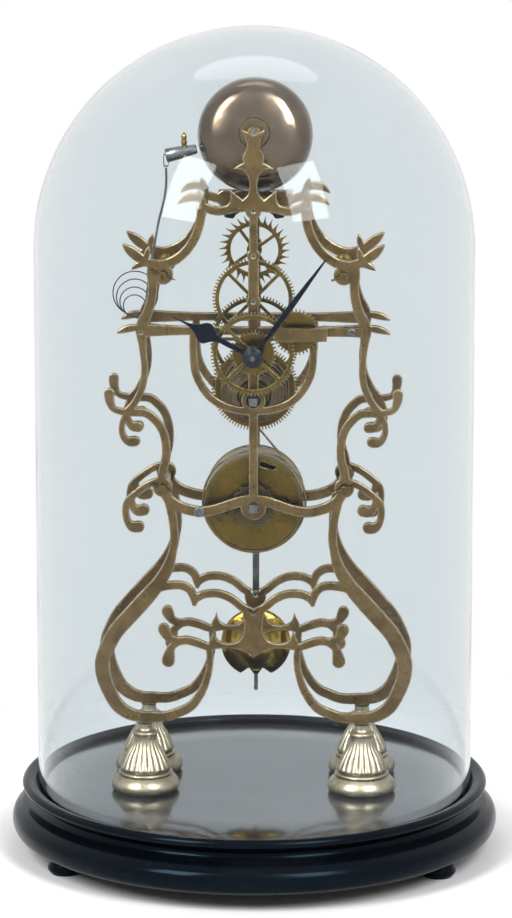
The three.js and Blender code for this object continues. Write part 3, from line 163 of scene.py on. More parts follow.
MINUTE_HAND_Y = HOUR_HAND_Y - HAND - WHEEL
CANNON_BORE = 1.5 + SEAT
CANNON_OUT = CANNON_BORE + 0.8
HOUR_BORE = CANNON_OUT + SEAT
HOUR_OUT = HOUR_BORE + 0.8
PENDULUM_Y = OUTER + 10.3
PENDULUM_LONG = 265.7
BOB_Z = PALLET_Z - PENDULUM_LONG
BOB_RADIUS = 20.5
BOB_HALF = 7.0
BOB_NOTCH = 6
HAMMER_X = -0.711 * FRAME_HALF
HAMMER_Z = at_height(0.6655)
HAMMER_Y = INNER - 6.3
RATCHET_Y = -INNER + SEAT
RATCHET = 1.6
SCREW_HEAD = 2.9
COCK_END = 62
COCK_FOOT = 1.5
CLICK_X = -31.0
CLICK_Z = at_height(0.363)

# Camera: the photograph's distance, height and fall of view, in metres
CAMERA_DISTANCE = 2.8
CAMERA_HEIGHT = 0.8534
CAMERA_FALL = math.radians(12.55)
CAMERA_TURN = math.radians(1.5)
CAMERA_SIDE = 0.0009
CAMERA_LENS = 195.45


def set_camera():
    data = bpy.data.cameras.new("photograph_view")
    data.lens = CAMERA_LENS
    data.sensor_width = 36
    data.clip_start = 0.1
    data.clip_end = 50
    camera = bpy.data.objects.new("photograph_view", data)
    bpy.context.scene.collection.objects.link(camera)
    camera.location = (
        CAMERA_DISTANCE * math.sin(CAMERA_TURN) + CAMERA_SIDE,
        -CAMERA_DISTANCE * math.cos(CAMERA_TURN),
        CAMERA_HEIGHT,
    )
    camera.rotation_euler = (math.pi / 2 - CAMERA_FALL, 0, CAMERA_TURN)
    bpy.context.scene.camera = camera


set_camera()


# Shader groups: each effect is built once and placed in the finishes that show it


def new_group(name, inputs, outputs):
    tree = bpy.data.node_groups.new(name, "ShaderNodeTree")
    kinds = {"color": "NodeSocketColor", "value": "NodeSocketFloat", "normal": "NodeSocketVector"}
    for label, kind, value in inputs:
        socket = tree.interface.new_socket(label, in_out="INPUT", socket_type=kinds[kind])
        socket.default_value = value
    for label, kind in outputs:
        tree.interface.new_socket(label, in_out="OUTPUT", socket_type=kinds[kind])
    return tree, tree.nodes.new("NodeGroupInput"), tree.nodes.new("NodeGroupOutput")


def node(tree, kind, **settings):
    made = tree.nodes.new("ShaderNode" + kind)
    for key, value in settings.items():
        setattr(made, key, value)
    return made


def feed(tree, made, values):
    """Gives a node's inputs their values: a number or tuple is set, another node's output is linked."""
    for key, value in values.items():
        if isinstance(value, bpy.types.NodeSocket):
            tree.links.new(value, made.inputs[key])
        else:
            made.inputs[key].default_value = value


def noise(tree, scale, detail, roughness, vector=None):
    made = node(tree, "TexNoise")
    vector = vector or node(tree, "TexCoord").outputs["Object"]
    feed(tree, made, {"Scale": scale, "Detail": detail, "Roughness": roughness, "Vector": vector})
    return made.outputs["Fac"]


def line_noise(tree, along, scale, detail, roughness=0.5):
    """Noise that changes only along one value, for rings and turned lines."""
    made = node(tree, "TexNoise", noise_dimensions="1D")
    feed(tree, made, {"W": along, "Scale": scale, "Detail": detail, "Roughness": roughness})
    return made.outputs["Fac"]


def spread(tree, value, low, high):
    """From 0 at the low value to 1 at the high one, along a soft curve."""
    made = node(tree, "MapRange", interpolation_type="SMOOTHSTEP")
    feed(tree, made, {"Value": value, "From Min": low, "From Max": high})
    return made.outputs["Result"]


def maths(tree, operation, first, second):
    made = node(tree, "Math", operation=operation)
    feed(tree, made, {0: first, 1: second})
    return made.outputs[0]


def blend_colours(tree, share, first, second):
    made = node(tree, "Mix", data_type="RGBA")
    feed(tree, made, {0: share, 6: first, 7: second})
    return made.outputs[2]


def patina_group():
    """Clouds of dull lacquer and small dark spots over a polished colour."""
    tree, given, out = new_group(
        "patina",
        [("Polished", "color", (0.6, 0.5, 0.3, 1)), ("Dull", "color", (0.3, 0.25, 0.15, 1)),
         ("Spots", "color", (0.1, 0.08, 0.05, 1)), ("Cloud Scale", "value", 60.0), ("Spot Scale", "value", 500.0)],
        [("Color", "color"), ("Dullness", "value")],
    )
    clouds = spread(tree, noise(tree, given.outputs["Cloud Scale"], 5, 0.6), 0.38, 0.64)
    specks = spread(tree, noise(tree, given.outputs["Spot Scale"], 3, 0.6), 0.6, 0.76)
    colour = blend_colours(tree, clouds, given.outputs["Polished"], given.outputs["Dull"])
    colour = blend_colours(tree, specks, colour, given.outputs["Spots"])
    tree.links.new(colour, out.inputs["Color"])
    tree.links.new(maths(tree, "MAXIMUM", clouds, specks), out.inputs["Dullness"])
    return tree


def upward(tree):
    """How far the surface faces up: 1 on level tops, -1 underneath."""
    parts = node(tree, "SeparateXYZ")
    tree.links.new(node(tree, "NewGeometry").outputs["Normal"], parts.inputs[0])
    return parts.outputs["Z"]


def worn_edges_and_highlight_group():
    """A mask that is high on corners: edges rubbed bright, which also serve as a painted highlight."""
    tree, given, out = new_group(
        "worn_edges_and_highlight", [("Width", "value", 0.0006), ("Amount", "value", 1.0)], [("Mask", "value")])
    rounded_off = node(tree, "Bevel", samples=4)
    feed(tree, rounded_off, {"Radius": given.outputs["Width"]})
    facing = node(tree, "VectorMath", operation="DOT_PRODUCT")
    feed(tree, facing, {0: rounded_off.outputs["Normal"], 1: node(tree, "NewGeometry").outputs["Normal"]})
    bend = maths(tree, "SUBTRACT", 1.0, facing.outputs["Value"])
    edge = spread(tree, bend, 0.01, 0.16)
    broken = spread(tree, noise(tree, 350.0, 3, 0.6), 0.25, 0.6)
    worn_and_highlit = maths(tree, "MULTIPLY", edge, broken)
    tree.links.new(maths(tree, "MULTIPLY", worn_and_highlit, given.outputs["Amount"]), out.inputs["Mask"])
    return tree


def turning_group():
    """Fine rings left by the lathe, along the turned pieces' own profile."""
    tree, given, out = new_group(
        "turning_marks", [("Pitch", "value", 0.5), ("Wander", "value", 0.5)], [("Height", "value")])
    along = node(tree, "Attribute", attribute_name="profile_run").outputs["Fac"]
    turns = maths(tree, "DIVIDE", along, given.outputs["Pitch"])
    wander = maths(tree, "MULTIPLY", noise(tree, 90.0, 2, 0.5), given.outputs["Wander"])
    wave = maths(tree, "SINE", maths(tree, "MULTIPLY", maths(tree, "ADD", turns, wander), 6.2832), 0.0)
    fine = line_noise(tree, along, 9.0, 6.0)
    tree.links.new(maths(tree, "ADD", maths(tree, "MULTIPLY", wave, 0.3), fine), out.inputs["Height"])
    return tree


def wheel_rings_group():
    """Rings left by facing a disc, by the distance from the axis that the piece stores."""
    tree, given, out = new_group(
        "wheel_rings", [("Scale", "value", 1.1), ("Wander", "value", 0.4)], [("Height", "value")])
    away = node(tree, "VectorMath", operation="LENGTH")
    tree.links.new(node(tree, "Attribute", attribute_name="from_axis").outputs["Vector"], away.inputs[0])
    wander = maths(tree, "MULTIPLY", noise(tree, 60.0, 2, 0.5), given.outputs["Wander"])
    rings = line_noise(tree, maths(tree, "ADD", away.outputs["Value"], wander), given.outputs["Scale"], 3.0, 0.7)
    tree.links.new(rings, out.inputs["Height"])
    return tree


def painted_shade_group():
    """A mask of painted shade: recesses, found by ambient occlusion, and what faces down."""
    tree, given, out = new_group(
        "painted_shade",
        [("Reach", "value", 0.012), ("Recess", "value", 0.8), ("Underside", "value", 0.5),
         ("Low Start", "value", -0.15), ("Low End", "value", 0.85)], [("Mask", "value")])
    closed_in = node(tree, "AmbientOcclusion", samples=6)
    tree.links.new(given.outputs["Reach"], closed_in.inputs["Distance"])
    recess = maths(tree, "SUBTRACT", 1.0, spread(tree, closed_in.outputs["AO"], 0.15, 0.95))
    downward = maths(tree, "MULTIPLY", upward(tree), -1.0)
    lowness = spread(tree, downward, given.outputs["Low Start"], given.outputs["Low End"])
    under = maths(tree, "MULTIPLY", lowness, given.outputs["Underside"])
    recess = maths(tree, "MULTIPLY", recess, given.outputs["Recess"])
    tree.links.new(maths(tree, "MAXIMUM", recess, under), out.inputs["Mask"])
    return tree


def scratches_group():
    """Fine straight-grained lines, drawn out along one way of the surface."""
    tree, given, out = new_group(
        "fine_scratches",
        [("Along", "normal", (900.0, 900.0, 40.0)), ("Depth", "value", 1.0)],
        [("Height", "value"), ("Roughening", "value")],
    )
    stretch = node(tree, "VectorMath", operation="MULTIPLY")
    feed(tree, stretch, {0: node(tree, "TexCoord").outputs["Object"], 1: given.outputs["Along"]})
    lines = noise(tree, 1.0, 5, 0.7, stretch.outputs["Vector"])
    tree.links.new(maths(tree, "MULTIPLY", lines, given.outputs["Depth"]), out.inputs["Height"])
    tree.links.new(spread(tree, lines, 0.35, 0.75), out.inputs["Roughening"])
    return tree


def handling_group():
    """Smears of old polish and fingers: a slow change of gloss."""
    tree, given, out = new_group(
        "handling",
        [("Low", "value", 0.2), ("High", "value", 0.4), ("Scale", "value", 45.0)],
        [("Roughness", "value")],
    )
    smear = spread(tree, noise(tree, given.outputs["Scale"], 7, 0.62), 0.32, 0.7)
    span = maths(tree, "SUBTRACT", given.outputs["High"], given.outputs["Low"])
    duller = maths(tree, "MULTIPLY", smear, span)
    tree.links.new(maths(tree, "ADD", given.outputs["Low"], duller), out.inputs["Roughness"])
    return tree


def dust_group():
    """Settled dust on what faces up."""
    tree, given, out = new_group(
        "settled_dust", [("Amount", "value", 0.2), ("Scale", "value", 900.0)], [("Mask", "value")])
    level = spread(tree, upward(tree), 0.5, 0.98)
    grains = spread(tree, noise(tree, given.outputs["Scale"], 2, 0.5), 0.6, 0.72)
    film = spread(tree, noise(tree, 12.0, 4, 0.6), 0.35, 0.8)
    amount = maths(tree, "ADD", maths(tree, "MULTIPLY", grains, 0.6), maths(tree, "MULTIPLY", film, 0.35))
    settled = maths(tree, "MULTIPLY", maths(tree, "MULTIPLY", level, amount), given.outputs["Amount"])
    tree.links.new(settled, out.inputs["Mask"])
    return tree


PATINA = patina_group()
WORN_EDGES_AND_HIGHLIGHT = worn_edges_and_highlight_group()
TURNING = turning_group()
WHEEL_RINGS = wheel_rings_group()
PAINTED_SHADE = painted_shade_group()
SCRATCHES = scratches_group()
HANDLING = handling_group()
DUST = dust_group()


def place_group(tree, group, **values):
    made = node(tree, "Group", node_tree=group)
    feed(tree, made, {key.replace("_", " ").title(): value for key, value in values.items()})
    return made


def new_finish(name):
    material = bpy.data.materials.new(name)
    material.use_nodes = True
    tree = material.node_tree
    shader = tree.nodes["Principled BSDF"]
    return material, tree, shader


def surface(tree, shader, colour, roughness, height, depth, strength=1.0):
    """Gives a shader its colour, its roughness and, through a bump, its relief in metres."""
    relief = node(tree, "Bump")
    feed(tree, relief, {"Distance": depth, "Strength": strength, "Height": height})
    feed(tree, shader, {"Base Color": colour, "Roughness": roughness, "Normal": relief.outputs["Normal"]})


def metal(name, polished, dull, spots, gloss, edge, clouds=60.0, marks="grain", grain=(900.0, 900.0, 60.0),
          depth=4e-6, edge_width=0.0008, edge_amount=0.8, spot_scale=500.0, painted_shade=(0.8, 0.6), streaks=0.35,
          low_start=-0.15, low_end=0.85):
    """A metal with patina, rubbed edges with a painted highlight, painted shade in recesses and underneath, and
    smears, marked by the lathe, by facing or along a grain.
    """
    material, tree, shader = new_finish(name)
    feed(tree, shader, {"Metallic": 1.0})
    patina = place_group(tree, PATINA, polished=polished + (1,), dull=dull + (1,), spots=spots + (1,),
                         cloud_scale=clouds, spot_scale=spot_scale)
    edges = place_group(tree, WORN_EDGES_AND_HIGHLIGHT, width=edge_width, amount=edge_amount)
    handled = place_group(tree, HANDLING, low=gloss[0], high=gloss[1])
    shade_mask = place_group(tree, PAINTED_SHADE, recess=painted_shade[0], underside=painted_shade[1], low_start=low_start, low_end=low_end)
    if marks == "lathe":
        left = place_group(tree, TURNING, pitch=0.45, wander=0.6)
    elif marks == "rings":
        depth /= 12  # a faced disc is smoother than a turned one
        left = place_group(tree, WHEEL_RINGS)
    else:
        left = place_group(tree, SCRATCHES, along=grain, depth=1.0)
    streak = maths(tree, "MULTIPLY", spread(tree, left.outputs["Height"], 0.4, 0.7), streaks)
    colour = blend_colours(tree, streak, patina.outputs["Color"], dull + (1,))
    # Painted shade: recesses and what faces down are darkened towards the spots colour
    colour = blend_colours(tree, shade_mask.outputs["Mask"], colour, spots + (1,))
    # Rubbed edges are lightened towards the edge colour, which is also a painted highlight
    colour = blend_colours(tree, edges.outputs["Mask"], colour, edge + (1,))
    rough = maths(tree, "ADD", handled.outputs["Roughness"],
                  maths(tree, "MULTIPLY", patina.outputs["Dullness"], 0.08))
    surface(tree, shader, colour, rough, left.outputs["Height"], depth)
    return material


def ebonised_wood(name, gloss, specular, tint, coat, dust_amount):
    """Black lacquer over turned wood: faint grain under the gloss and a film of dust on top."""
    material, tree, shader = new_finish(name)
    feed(tree, shader, {"Specular IOR Level": specular, "Specular Tint": tint + (1,), "Coat Weight": coat,
                        "Coat Roughness": gloss[0]})
    patina = place_group(tree, PATINA, polished=(0.0015, 0.0025, 0.004, 1), dull=(0.003, 0.004, 0.006, 1),
                         spots=(0.008, 0.008, 0.009, 1), cloud_scale=25.0, spot_scale=420.0)
    edges = place_group(tree, WORN_EDGES_AND_HIGHLIGHT, width=0.0008, amount=0.25)
    dust = place_group(tree, DUST, amount=dust_amount, scale=700.0)
    # Rubbed edges are lightened a little, which is also a painted highlight
    colour = blend_colours(tree, edges.outputs["Mask"], patina.outputs["Color"], (0.04, 0.035, 0.03, 1))
    colour = blend_colours(tree, dust.outputs["Mask"], colour, (0.45, 0.45, 0.47, 1))
    handled = place_group(tree, HANDLING, low=gloss[0], high=gloss[1], scale=18.0)
    grain = place_group(tree, SCRATCHES, along=(60.0, 900.0, 900.0), depth=1.0)
    surface(tree, shader, colour, handled.outputs["Roughness"], grain.outputs["Height"], 1.5e-7)
    return material


def dome_glass():
    """Old blown glass: clear, a little blue-grey, with slow waves in its surface."""
    material, tree, shader = new_finish("dome_glass")
    feed(tree, shader, {"Transmission Weight": 1.0, "IOR": 1.46, "Specular Tint": (0.3, 0.3, 0.3, 1)})
    clouds = spread(tree, noise(tree, 9.0, 2, 0.5), 0.3, 0.7)
    tint = blend_colours(tree, clouds, (0.8, 0.84, 0.855, 1), (0.812, 0.85, 0.864, 1))
    handled = place_group(tree, HANDLING, low=0.0, high=0.02, scale=20.0)
    surface(tree, shader, tint, handled.outputs["Roughness"], noise(tree, 14.0, 2, 0.4), 0.0004, 0.3)
    return material


def gut_line():
    """Twisted gut, dry and a little shiny where it bears on the metal."""
    material, tree, shader = new_finish("gut_line")
    patina = place_group(tree, PATINA, polished=(0.15, 0.1, 0.04, 1), dull=(0.085, 0.056, 0.024, 1),
                         spots=(0.035, 0.024, 0.012, 1), cloud_scale=200.0, spot_scale=1500.0)
    handled = place_group(tree, HANDLING, low=0.35, high=0.6, scale=300.0)
    twist = place_group(tree, TURNING, pitch=0.8, wander=0.2)
    surface(tree, shader, patina.outputs["Color"], handled.outputs["Roughness"], twist.outputs["Height"], 5e-5)
    return material


# In each metal below, the darkening of recesses and undersides is painted shade, and the edge colour is wear and a
# painted highlight
AGED_BRASS = metal("aged_brass", (0.262, 0.17, 0.07), (0.145, 0.092, 0.036), (0.024, 0.017, 0.009), (0.2, 0.36),
                   (0.62, 0.52, 0.35), clouds=70.0)
TURNED_BRASS = metal("turned_aged_brass", (0.26, 0.165, 0.036), (0.14, 0.09, 0.021), (0.028, 0.018, 0.006),
                     (0.16, 0.3), (0.62, 0.5, 0.26), clouds=55.0, marks="lathe", edge_amount=0.6)
FACED_BRASS = metal("faced_brass", (0.22, 0.138, 0.026), (0.13, 0.082, 0.017), (0.026, 0.017, 0.006), (0.18, 0.32),
                    (0.62, 0.5, 0.26), clouds=55.0, marks="rings", edge_amount=0.6, streaks=0.5)
FOOT_BRASS = metal("pale_cast_brass", (0.47, 0.41, 0.3), (0.3, 0.255, 0.18), (0.09, 0.074, 0.05), (0.27, 0.4),
                   (0.85, 0.8, 0.64), clouds=120.0, edge_amount=0.5, edge_width=0.0004, painted_shade=(0.7, 0.4))
BRIGHT_BRASS = metal("polished_brass", (0.62, 0.42, 0.1), (0.34, 0.225, 0.05), (0.06, 0.042, 0.014), (0.1, 0.22),
                     (0.75, 0.62, 0.36), clouds=70.0, marks="lathe", edge_amount=0.4, painted_shade=(0.8, 1.0))
# The bob's painted shade starts on anything that faces even a little down
MIRROR_BRASS = metal("mirror_brass", (0.68, 0.45, 0.08), (0.38, 0.25, 0.045), (0.05, 0.036, 0.014), (0.05, 0.13),
                     (0.75, 0.62, 0.36), clouds=70.0, marks="lathe", edge_amount=0.4, painted_shade=(0.8, 0.9),
                     low_start=-0.02, low_end=0.22)
WHEEL_BRASS = metal("wheel_brass", (0.23, 0.15, 0.036), (0.1, 0.064, 0.015), (0.026, 0.018, 0.007), (0.2, 0.34),
                    (0.6, 0.48, 0.25), clouds=110.0, marks="rings", edge_width=0.0004, edge_amount=0.7)
BELL_BRONZE = metal("bell_bronze", (0.25, 0.185, 0.135), (0.13, 0.092, 0.063), (0.03, 0.021, 0.012), (0.1, 0.2),
                    (0.5, 0.4, 0.3), clouds=34.0, marks="lathe", depth=4e-7, edge_amount=0.5, streaks=0.2,
                    painted_shade=(0.8, 0.85))
DARK_BRONZE = metal("unpolished_bronze", (0.12, 0.088, 0.055), (0.07, 0.05, 0.03), (0.03, 0.021, 0.012), (0.3, 0.45),
                    (0.6, 0.48, 0.33), clouds=90.0, marks="lathe", edge_width=0.0005)
STEEL = metal("worn_steel", (0.25, 0.255, 0.26), (0.13, 0.13, 0.135), (0.04, 0.034, 0.03), (0.2, 0.36),
              (0.5, 0.5, 0.5), clouds=120.0, grain=(1500.0, 1500.0, 90.0), edge_width=0.0003)
TURNED_STEEL = metal("turned_steel", (0.3, 0.31, 0.32), (0.17, 0.17, 0.18), (0.04, 0.036, 0.034), (0.14, 0.28),
                     (0.55, 0.55, 0.55), clouds=120.0, marks="lathe", edge_width=0.0003)
# Steel coloured dark brown as painted shade, so that the ratchet and click read as shadowed; the taper pins share it
SHADE_DARKENED_STEEL = metal("shade_darkened_steel", (0.115, 0.086, 0.042), (0.07, 0.052, 0.026), (0.022, 0.017, 0.01), (0.25, 0.4),
                      (0.3, 0.26, 0.19), clouds=120.0, edge_width=0.0003)
DARK_STEEL = metal("dark_turned_steel", (0.045, 0.055, 0.068), (0.024, 0.03, 0.038), (0.012, 0.012, 0.014),
                   (0.16, 0.28), (0.4, 0.42, 0.45), clouds=120.0, marks="lathe", edge_width=0.0003)
BLUED_STEEL = metal("blued_steel", (0.004, 0.01, 0.028), (0.006, 0.009, 0.016), (0.01, 0.008, 0.008), (0.2, 0.32),
                    (0.06, 0.075, 0.11), clouds=90.0, edge_width=0.0003, edge_amount=0.4)
DARK_WIRE = metal("dark_spring_wire", (0.09, 0.095, 0.11), (0.05, 0.053, 0.062), (0.03, 0.024, 0.02), (0.25, 0.4),
                  (0.22, 0.22, 0.23), clouds=150.0, marks="lathe", edge_width=0.0002)
EBONY = ebonised_wood("ebonised_wood", gloss=(0.14, 0.26), specular=0.09, tint=(0.45, 0.75, 1.0), coat=0.0,
                      dust_amount=0.008)
PLATFORM_EBONY = ebonised_wood("polished_platform", gloss=(0.12, 0.2), specular=0.66, tint=(0.9, 0.93, 1.0), coat=0.7,
                               dust_amount=0.14)
GLASS = dome_glass()
GUT = gut_line()


# Making pieces: everything is drawn in millimetres and set down in metres


def new_piece(name, parts, finish, node_name, crease=38, axis=None):
    """One object from parts of (points, faces, run), smooth but for creases sharper than the angle.
    It stands for one CAD node and moves with that node's body. A faced disc gives the (x, z) of its axis, and its
    points store how far off it they lie."""
    points, faces, runs = [], [], []
    for part_points, part_faces, part_run in parts:
        start = len(points)
        points.extend(tuple(p) for p in part_points)
        faces.extend([start + i for i in face] for face in part_faces)
        runs.extend(part_run)
    mesh = bpy.data.meshes.new(name)
    mesh.from_pydata([(x * MM, y * MM, z * MM) for x, y, z in points], [], faces)
    attribute = mesh.attributes.new("profile_run", "FLOAT", "POINT")
    attribute.data.foreach_set("value", np.array(runs, dtype=np.float32))
    if axis:
        offsets = np.array([(x - axis[0], 0, z - axis[1]) for x, _, z in points], dtype=np.float32)
        mesh.attributes.new("from_axis", "FLOAT_VECTOR", "POINT").data.foreach_set("vector", offsets.ravel())
    mesh.shade_smooth()
    mesh.set_sharp_from_angle(angle=math.radians(crease))
    mesh.materials.append(finish)
    piece = bpy.data.objects.new(name, mesh)
    bpy.context.scene.collection.objects.link(piece)
    body = body_of(frame["nodes"][node_name])
    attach(piece, body if isinstance(body, str) else body[0])
    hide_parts(node_name)
    return piece


def refine(node_name, finish, bevel):
    """A carried-over CAD solid gets its finish and rounded edges."""
    solid = frame["nodes"][node_name]
    solid.data.materials.clear()
    solid.data.materials.append(finish)
    rounding = solid.modifiers.new("rounded_edges", "BEVEL")
    rounding.width = bevel * MM
    rounding.segments = 2
    rounding.limit_method = "ANGLE"
    rounding.angle_limit = math.radians(35)
    rounding.harden_normals = True


def smooth_run(stations, per_span):
    """Points on the centripetal curve through the stations, per_span to each gap between two."""
    p = [np.array(s, float) for s in stations]
    p = [2 * p[0] - p[1]] + p + [2 * p[-1] - p[-2]]
    out = []
    for a, b, c, d in zip(p, p[1:], p[2:], p[3:]):
        t1 = np.linalg.norm(b - a) ** 0.5 or 1.0
        t2 = np.linalg.norm(c - b) ** 0.5 or 1.0
        t3 = np.linalg.norm(d - c) ** 0.5 or 1.0
        m1 = ((b - a) / t1 - (c - a) / (t1 + t2) + (c - b) / t2) * t2
        m2 = ((c - b) / t2 - (d - b) / (t2 + t3) + (d - c) / t3) * t2
        for k in range(per_span):
            s = k / per_span
            out.append(b + m1 * s + (3 * (c - b) - 2 * m1 - m2) * s**2 + (2 * (b - c) + m1 + m2) * s**3)
    return out + [p[-2]]


def lathe(profile, segments=64, wave=None):
    """A profile of (radius, height) turned about Z. wave(angle, height, radius) may change the radius."""
    points, faces, run, rings = [], [], [], []
    along = 0.0
    before = profile[0]
    for number, (radius, height) in enumerate(profile):
        along += math.hypot(radius - before[0], height - before[1])
        before = (radius, height)
        if number == len(profile) - 1 and math.hypot(radius - profile[0][0], height - profile[0][1]) < 1e-6:
            rings.append(rings[0])
            continue
        if radius < 1e-6:
            rings.append([len(points)])
            points.append((0, 0, height))
            run.append(along)
            continue
        ring = []
        for k in range(segments):
            a = 2 * math.pi * k / segments
            r = radius + (wave(a, height, radius) if wave else 0)
            ring.append(len(points))
            points.append((r * math.cos(a), r * math.sin(a), height))
            run.append(along)
        rings.append(ring)
    for low, high in zip(rings, rings[1:]):
        for k in range(segments):
            n = (k + 1) % segments
            if len(low) == 1 and len(high) > 1:
                faces.append([low[0], high[k], high[n]][::-1])
            elif len(high) == 1 and len(low) > 1:
                faces.append([low[k], low[n], high[0]])
            elif len(low) > 1:
                faces.append([low[k], low[n], high[n], high[k]])
    return points, faces, run


def moved(part, turn=Matrix.Identity(3), shift=(0, 0, 0)):
    points, faces, run = part
    placed = [turn @ Vector(p) + Vector(shift) for p in points]
    return placed, faces, run


TO_Y = Matrix.Rotation(-math.pi / 2, 3, "X")


def turned_y(profile, x, z, segments=64, wave=None):
    """A profile of (radius, depth) turned about the line along Y at (x, z)."""
    return moved(lathe(profile, segments, wave), TO_Y, (x, 0, z))


def turned_z(profile, x, y, segments=64, wave=None):
    """A profile of (radius, height) turned about the upright line at (x, y)."""
    return moved(lathe(profile, segments, wave), shift=(x, y, 0))


def tube(path, radius, sides=12):
    """A round wire along a path, with rounded ends."""
    path = [Vector(p) for p in path]
    points, faces, run = [], [], []
    side = Vector((0.1, 1, 0.1)).normalized()
    along = 0.0
    for i, at in enumerate(path):
        ahead = (path[min(i + 1, len(path) - 1)] - path[max(i - 1, 0)]).normalized()
        side = (side - ahead * side.dot(ahead)).normalized()
        up = ahead.cross(side)
        if i:
            along += (at - path[i - 1]).length
        for k in range(sides):
            a = 2 * math.pi * k / sides
            points.append(at + (side * math.cos(a) + up * math.sin(a)) * radius)
            run.append(along)
    for i in range(len(path) - 1):
        for k in range(sides):
            n = (k + 1) % sides
            faces.append([i * sides + k, i * sides + n, (i + 1) * sides + n, (i + 1) * sides + k])
    last = (len(path) - 1) * sides
    faces.append(list(range(sides))[::-1])
    faces.append([last + k for k in range(sides)])
    return points, faces, run


def circle(x, z, radius, sides=48):
    return [(x + radius * math.cos(2 * math.pi * k / sides), z + radius * math.sin(2 * math.pi * k / sides))
            for k in range(sides)]


def rect(x0, x1, z0, z1):
    return [(x0, z0), (x1, z0), (x1, z1), (x0, z1)]


def bar_sides(points):
    """Left and right points of a bar of changing width along stations of (x, z, half width)."""
    left, right = [], []
    for i, p in enumerate(points):
        a, b = points[max(i - 1, 0)], points[min(i + 1, len(points) - 1)]
        run = math.hypot(b[0] - a[0], b[1] - a[1]) or 1
        nx, nz = -(b[1] - a[1]) / run * p[2], (b[0] - a[0]) / run * p[2]
        left.append((p[0] + nx, p[1] + nz))
        right.append((p[0] - nx, p[1] - nz))
    return left, right


def bar_shapes(stations, per_span=5):
    points = smooth_run(stations, per_span) if per_span else [np.array(s, float) for s in stations]
    left, right = bar_sides(points)
    halves = []
    for i in range(len(points) - 1):
        halves += [[left[i], right[i], left[i + 1]], [right[i], right[i + 1], left[i + 1]]]
    return halves


def joined_outlines(additions, cuts=()):
    """The outlines of flat shapes laid over each other and joined, less the cuts."""
    points, faces = [], []
    additions = [shape for shape in additions if abs(area(list(shape))) > 1e-6]
    for shape in additions + list(cuts):
        shape = anticlockwise(shape)
        faces.append(list(range(len(points), len(points) + len(shape))))
        points.extend(Vector(p) for p in shape)
    found, _, made, _, _, origins = delaunay_2d_cdt(points, [], faces, 1, 1e-4, True)
    solid = len(additions)
    edges = set()
    for face, origin in zip(made, origins):
        if any(o >= solid for o in origin) or not any(o < solid for o in origin):
            continue
        turn = sum(found[face[k]].x * found[face[(k + 1) % len(face)]].y
                   - found[face[(k + 1) % len(face)]].x * found[face[k]].y for k in range(len(face)))
        face = face if turn > 0 else face[::-1]
        edges.update((face[k], face[(k + 1) % len(face)]) for k in range(len(face)))
    following = {}
    for a, b in edges:
        if (b, a) not in edges:
            following.setdefault(a, []).append(b)
    loops = []
    while following:
        start = next(iter(following))
        loop, at = [], start
        while at in following:
            to = following[at].pop()
            if not following[at]:
                del following[at]
            loop.append((found[at].x, found[at].y))
            at = to
        loop = thinned(loop)
        if len(loop) > 3:
            loops.append(loop)
    return loops


def thinned(loop, near=0.06, off=0.012):
    """A loop without points that crowd their neighbour or lie on a straight run."""
    kept = []
    for p in loop:
        if not kept or math.hypot(p[0] - kept[-1][0], p[1] - kept[-1][1]) > near:
            kept.append(p)
    out = []
    for i, p in enumerate(kept):
        a, b = kept[i - 1], kept[(i + 1) % len(kept)]
        run = math.hypot(b[0] - a[0], b[1] - a[1]) or 1
        if abs((b[0] - a[0]) * (p[1] - a[1]) - (b[1] - a[1]) * (p[0] - a[0])) > off * run:
            out.append(p)
    return out


def inset_loop(loop, distance):
    """The loop moved into the material, which lies on its left."""
    out = []
    for i, p in enumerate(loop):
        a, b = loop[i - 1], loop[(i + 1) % len(loop)]
        ux, uz = p[0] - a[0], p[1] - a[1]
        vx, vz = b[0] - p[0], b[1] - p[1]
        lu, lv = math.hypot(ux, uz) or 1, math.hypot(vx, vz) or 1
        nx, nz = -uz / lu - vz / lv, ux / lu + vx / lv
        size = nx * nx + nz * nz
        reach = min(2 / max(size, 1e-6), 1.3) if size > 1e-6 else 0
        out.append((p[0] + nx * reach * distance, p[1] + nz * reach * distance))
    return out


def area(loop):
    return 0.5 * sum(a[0] * b[1] - b[0] * a[1] for a, b in zip(loop, loop[1:] + loop[:1]))


def anticlockwise(loop):
    return loop if area(loop) > 0 else loop[::-1]


def ribbon(rows):
    """The outline of one bar of changing width along rows of (x, z, half width)."""
    left, right = bar_sides(rows)
    return anticlockwise(left + right[::-1])


def flat_piece(loops, y0, y1, rounding=0.35):
    """A flat solid between y0 and y1 with rounded edges. Loops have the material on their left."""
    quarter = [(0.0, 1.0), (0.293, 0.293), (1.0, 0.0)]
    levels = [(inset * rounding, y0 + drop * rounding) for inset, drop in quarter[::-1]]
    levels += [(inset * rounding, y1 - drop * rounding) for inset, drop in quarter]
    points, faces, caps = [], [], ([], [])
    for loop in loops:
        rings = []
        for inset, y in levels:
            rings.append(list(range(len(points), len(points) + len(loop))))
            points.extend((x, y, z) for x, z in inset_loop(loop, inset))
        for near, far in zip(rings, rings[1:]):
            for k in range(len(loop)):
                n = (k + 1) % len(loop)
                faces.append([near[n], near[k], far[k], far[n]])
        caps[0].append(rings[0])
        caps[1].append(rings[-1])
    for which, rings in enumerate(caps):
        faces.extend(cap_faces(points, rings, which == 0))
    return points, faces, [0.0] * len(points)


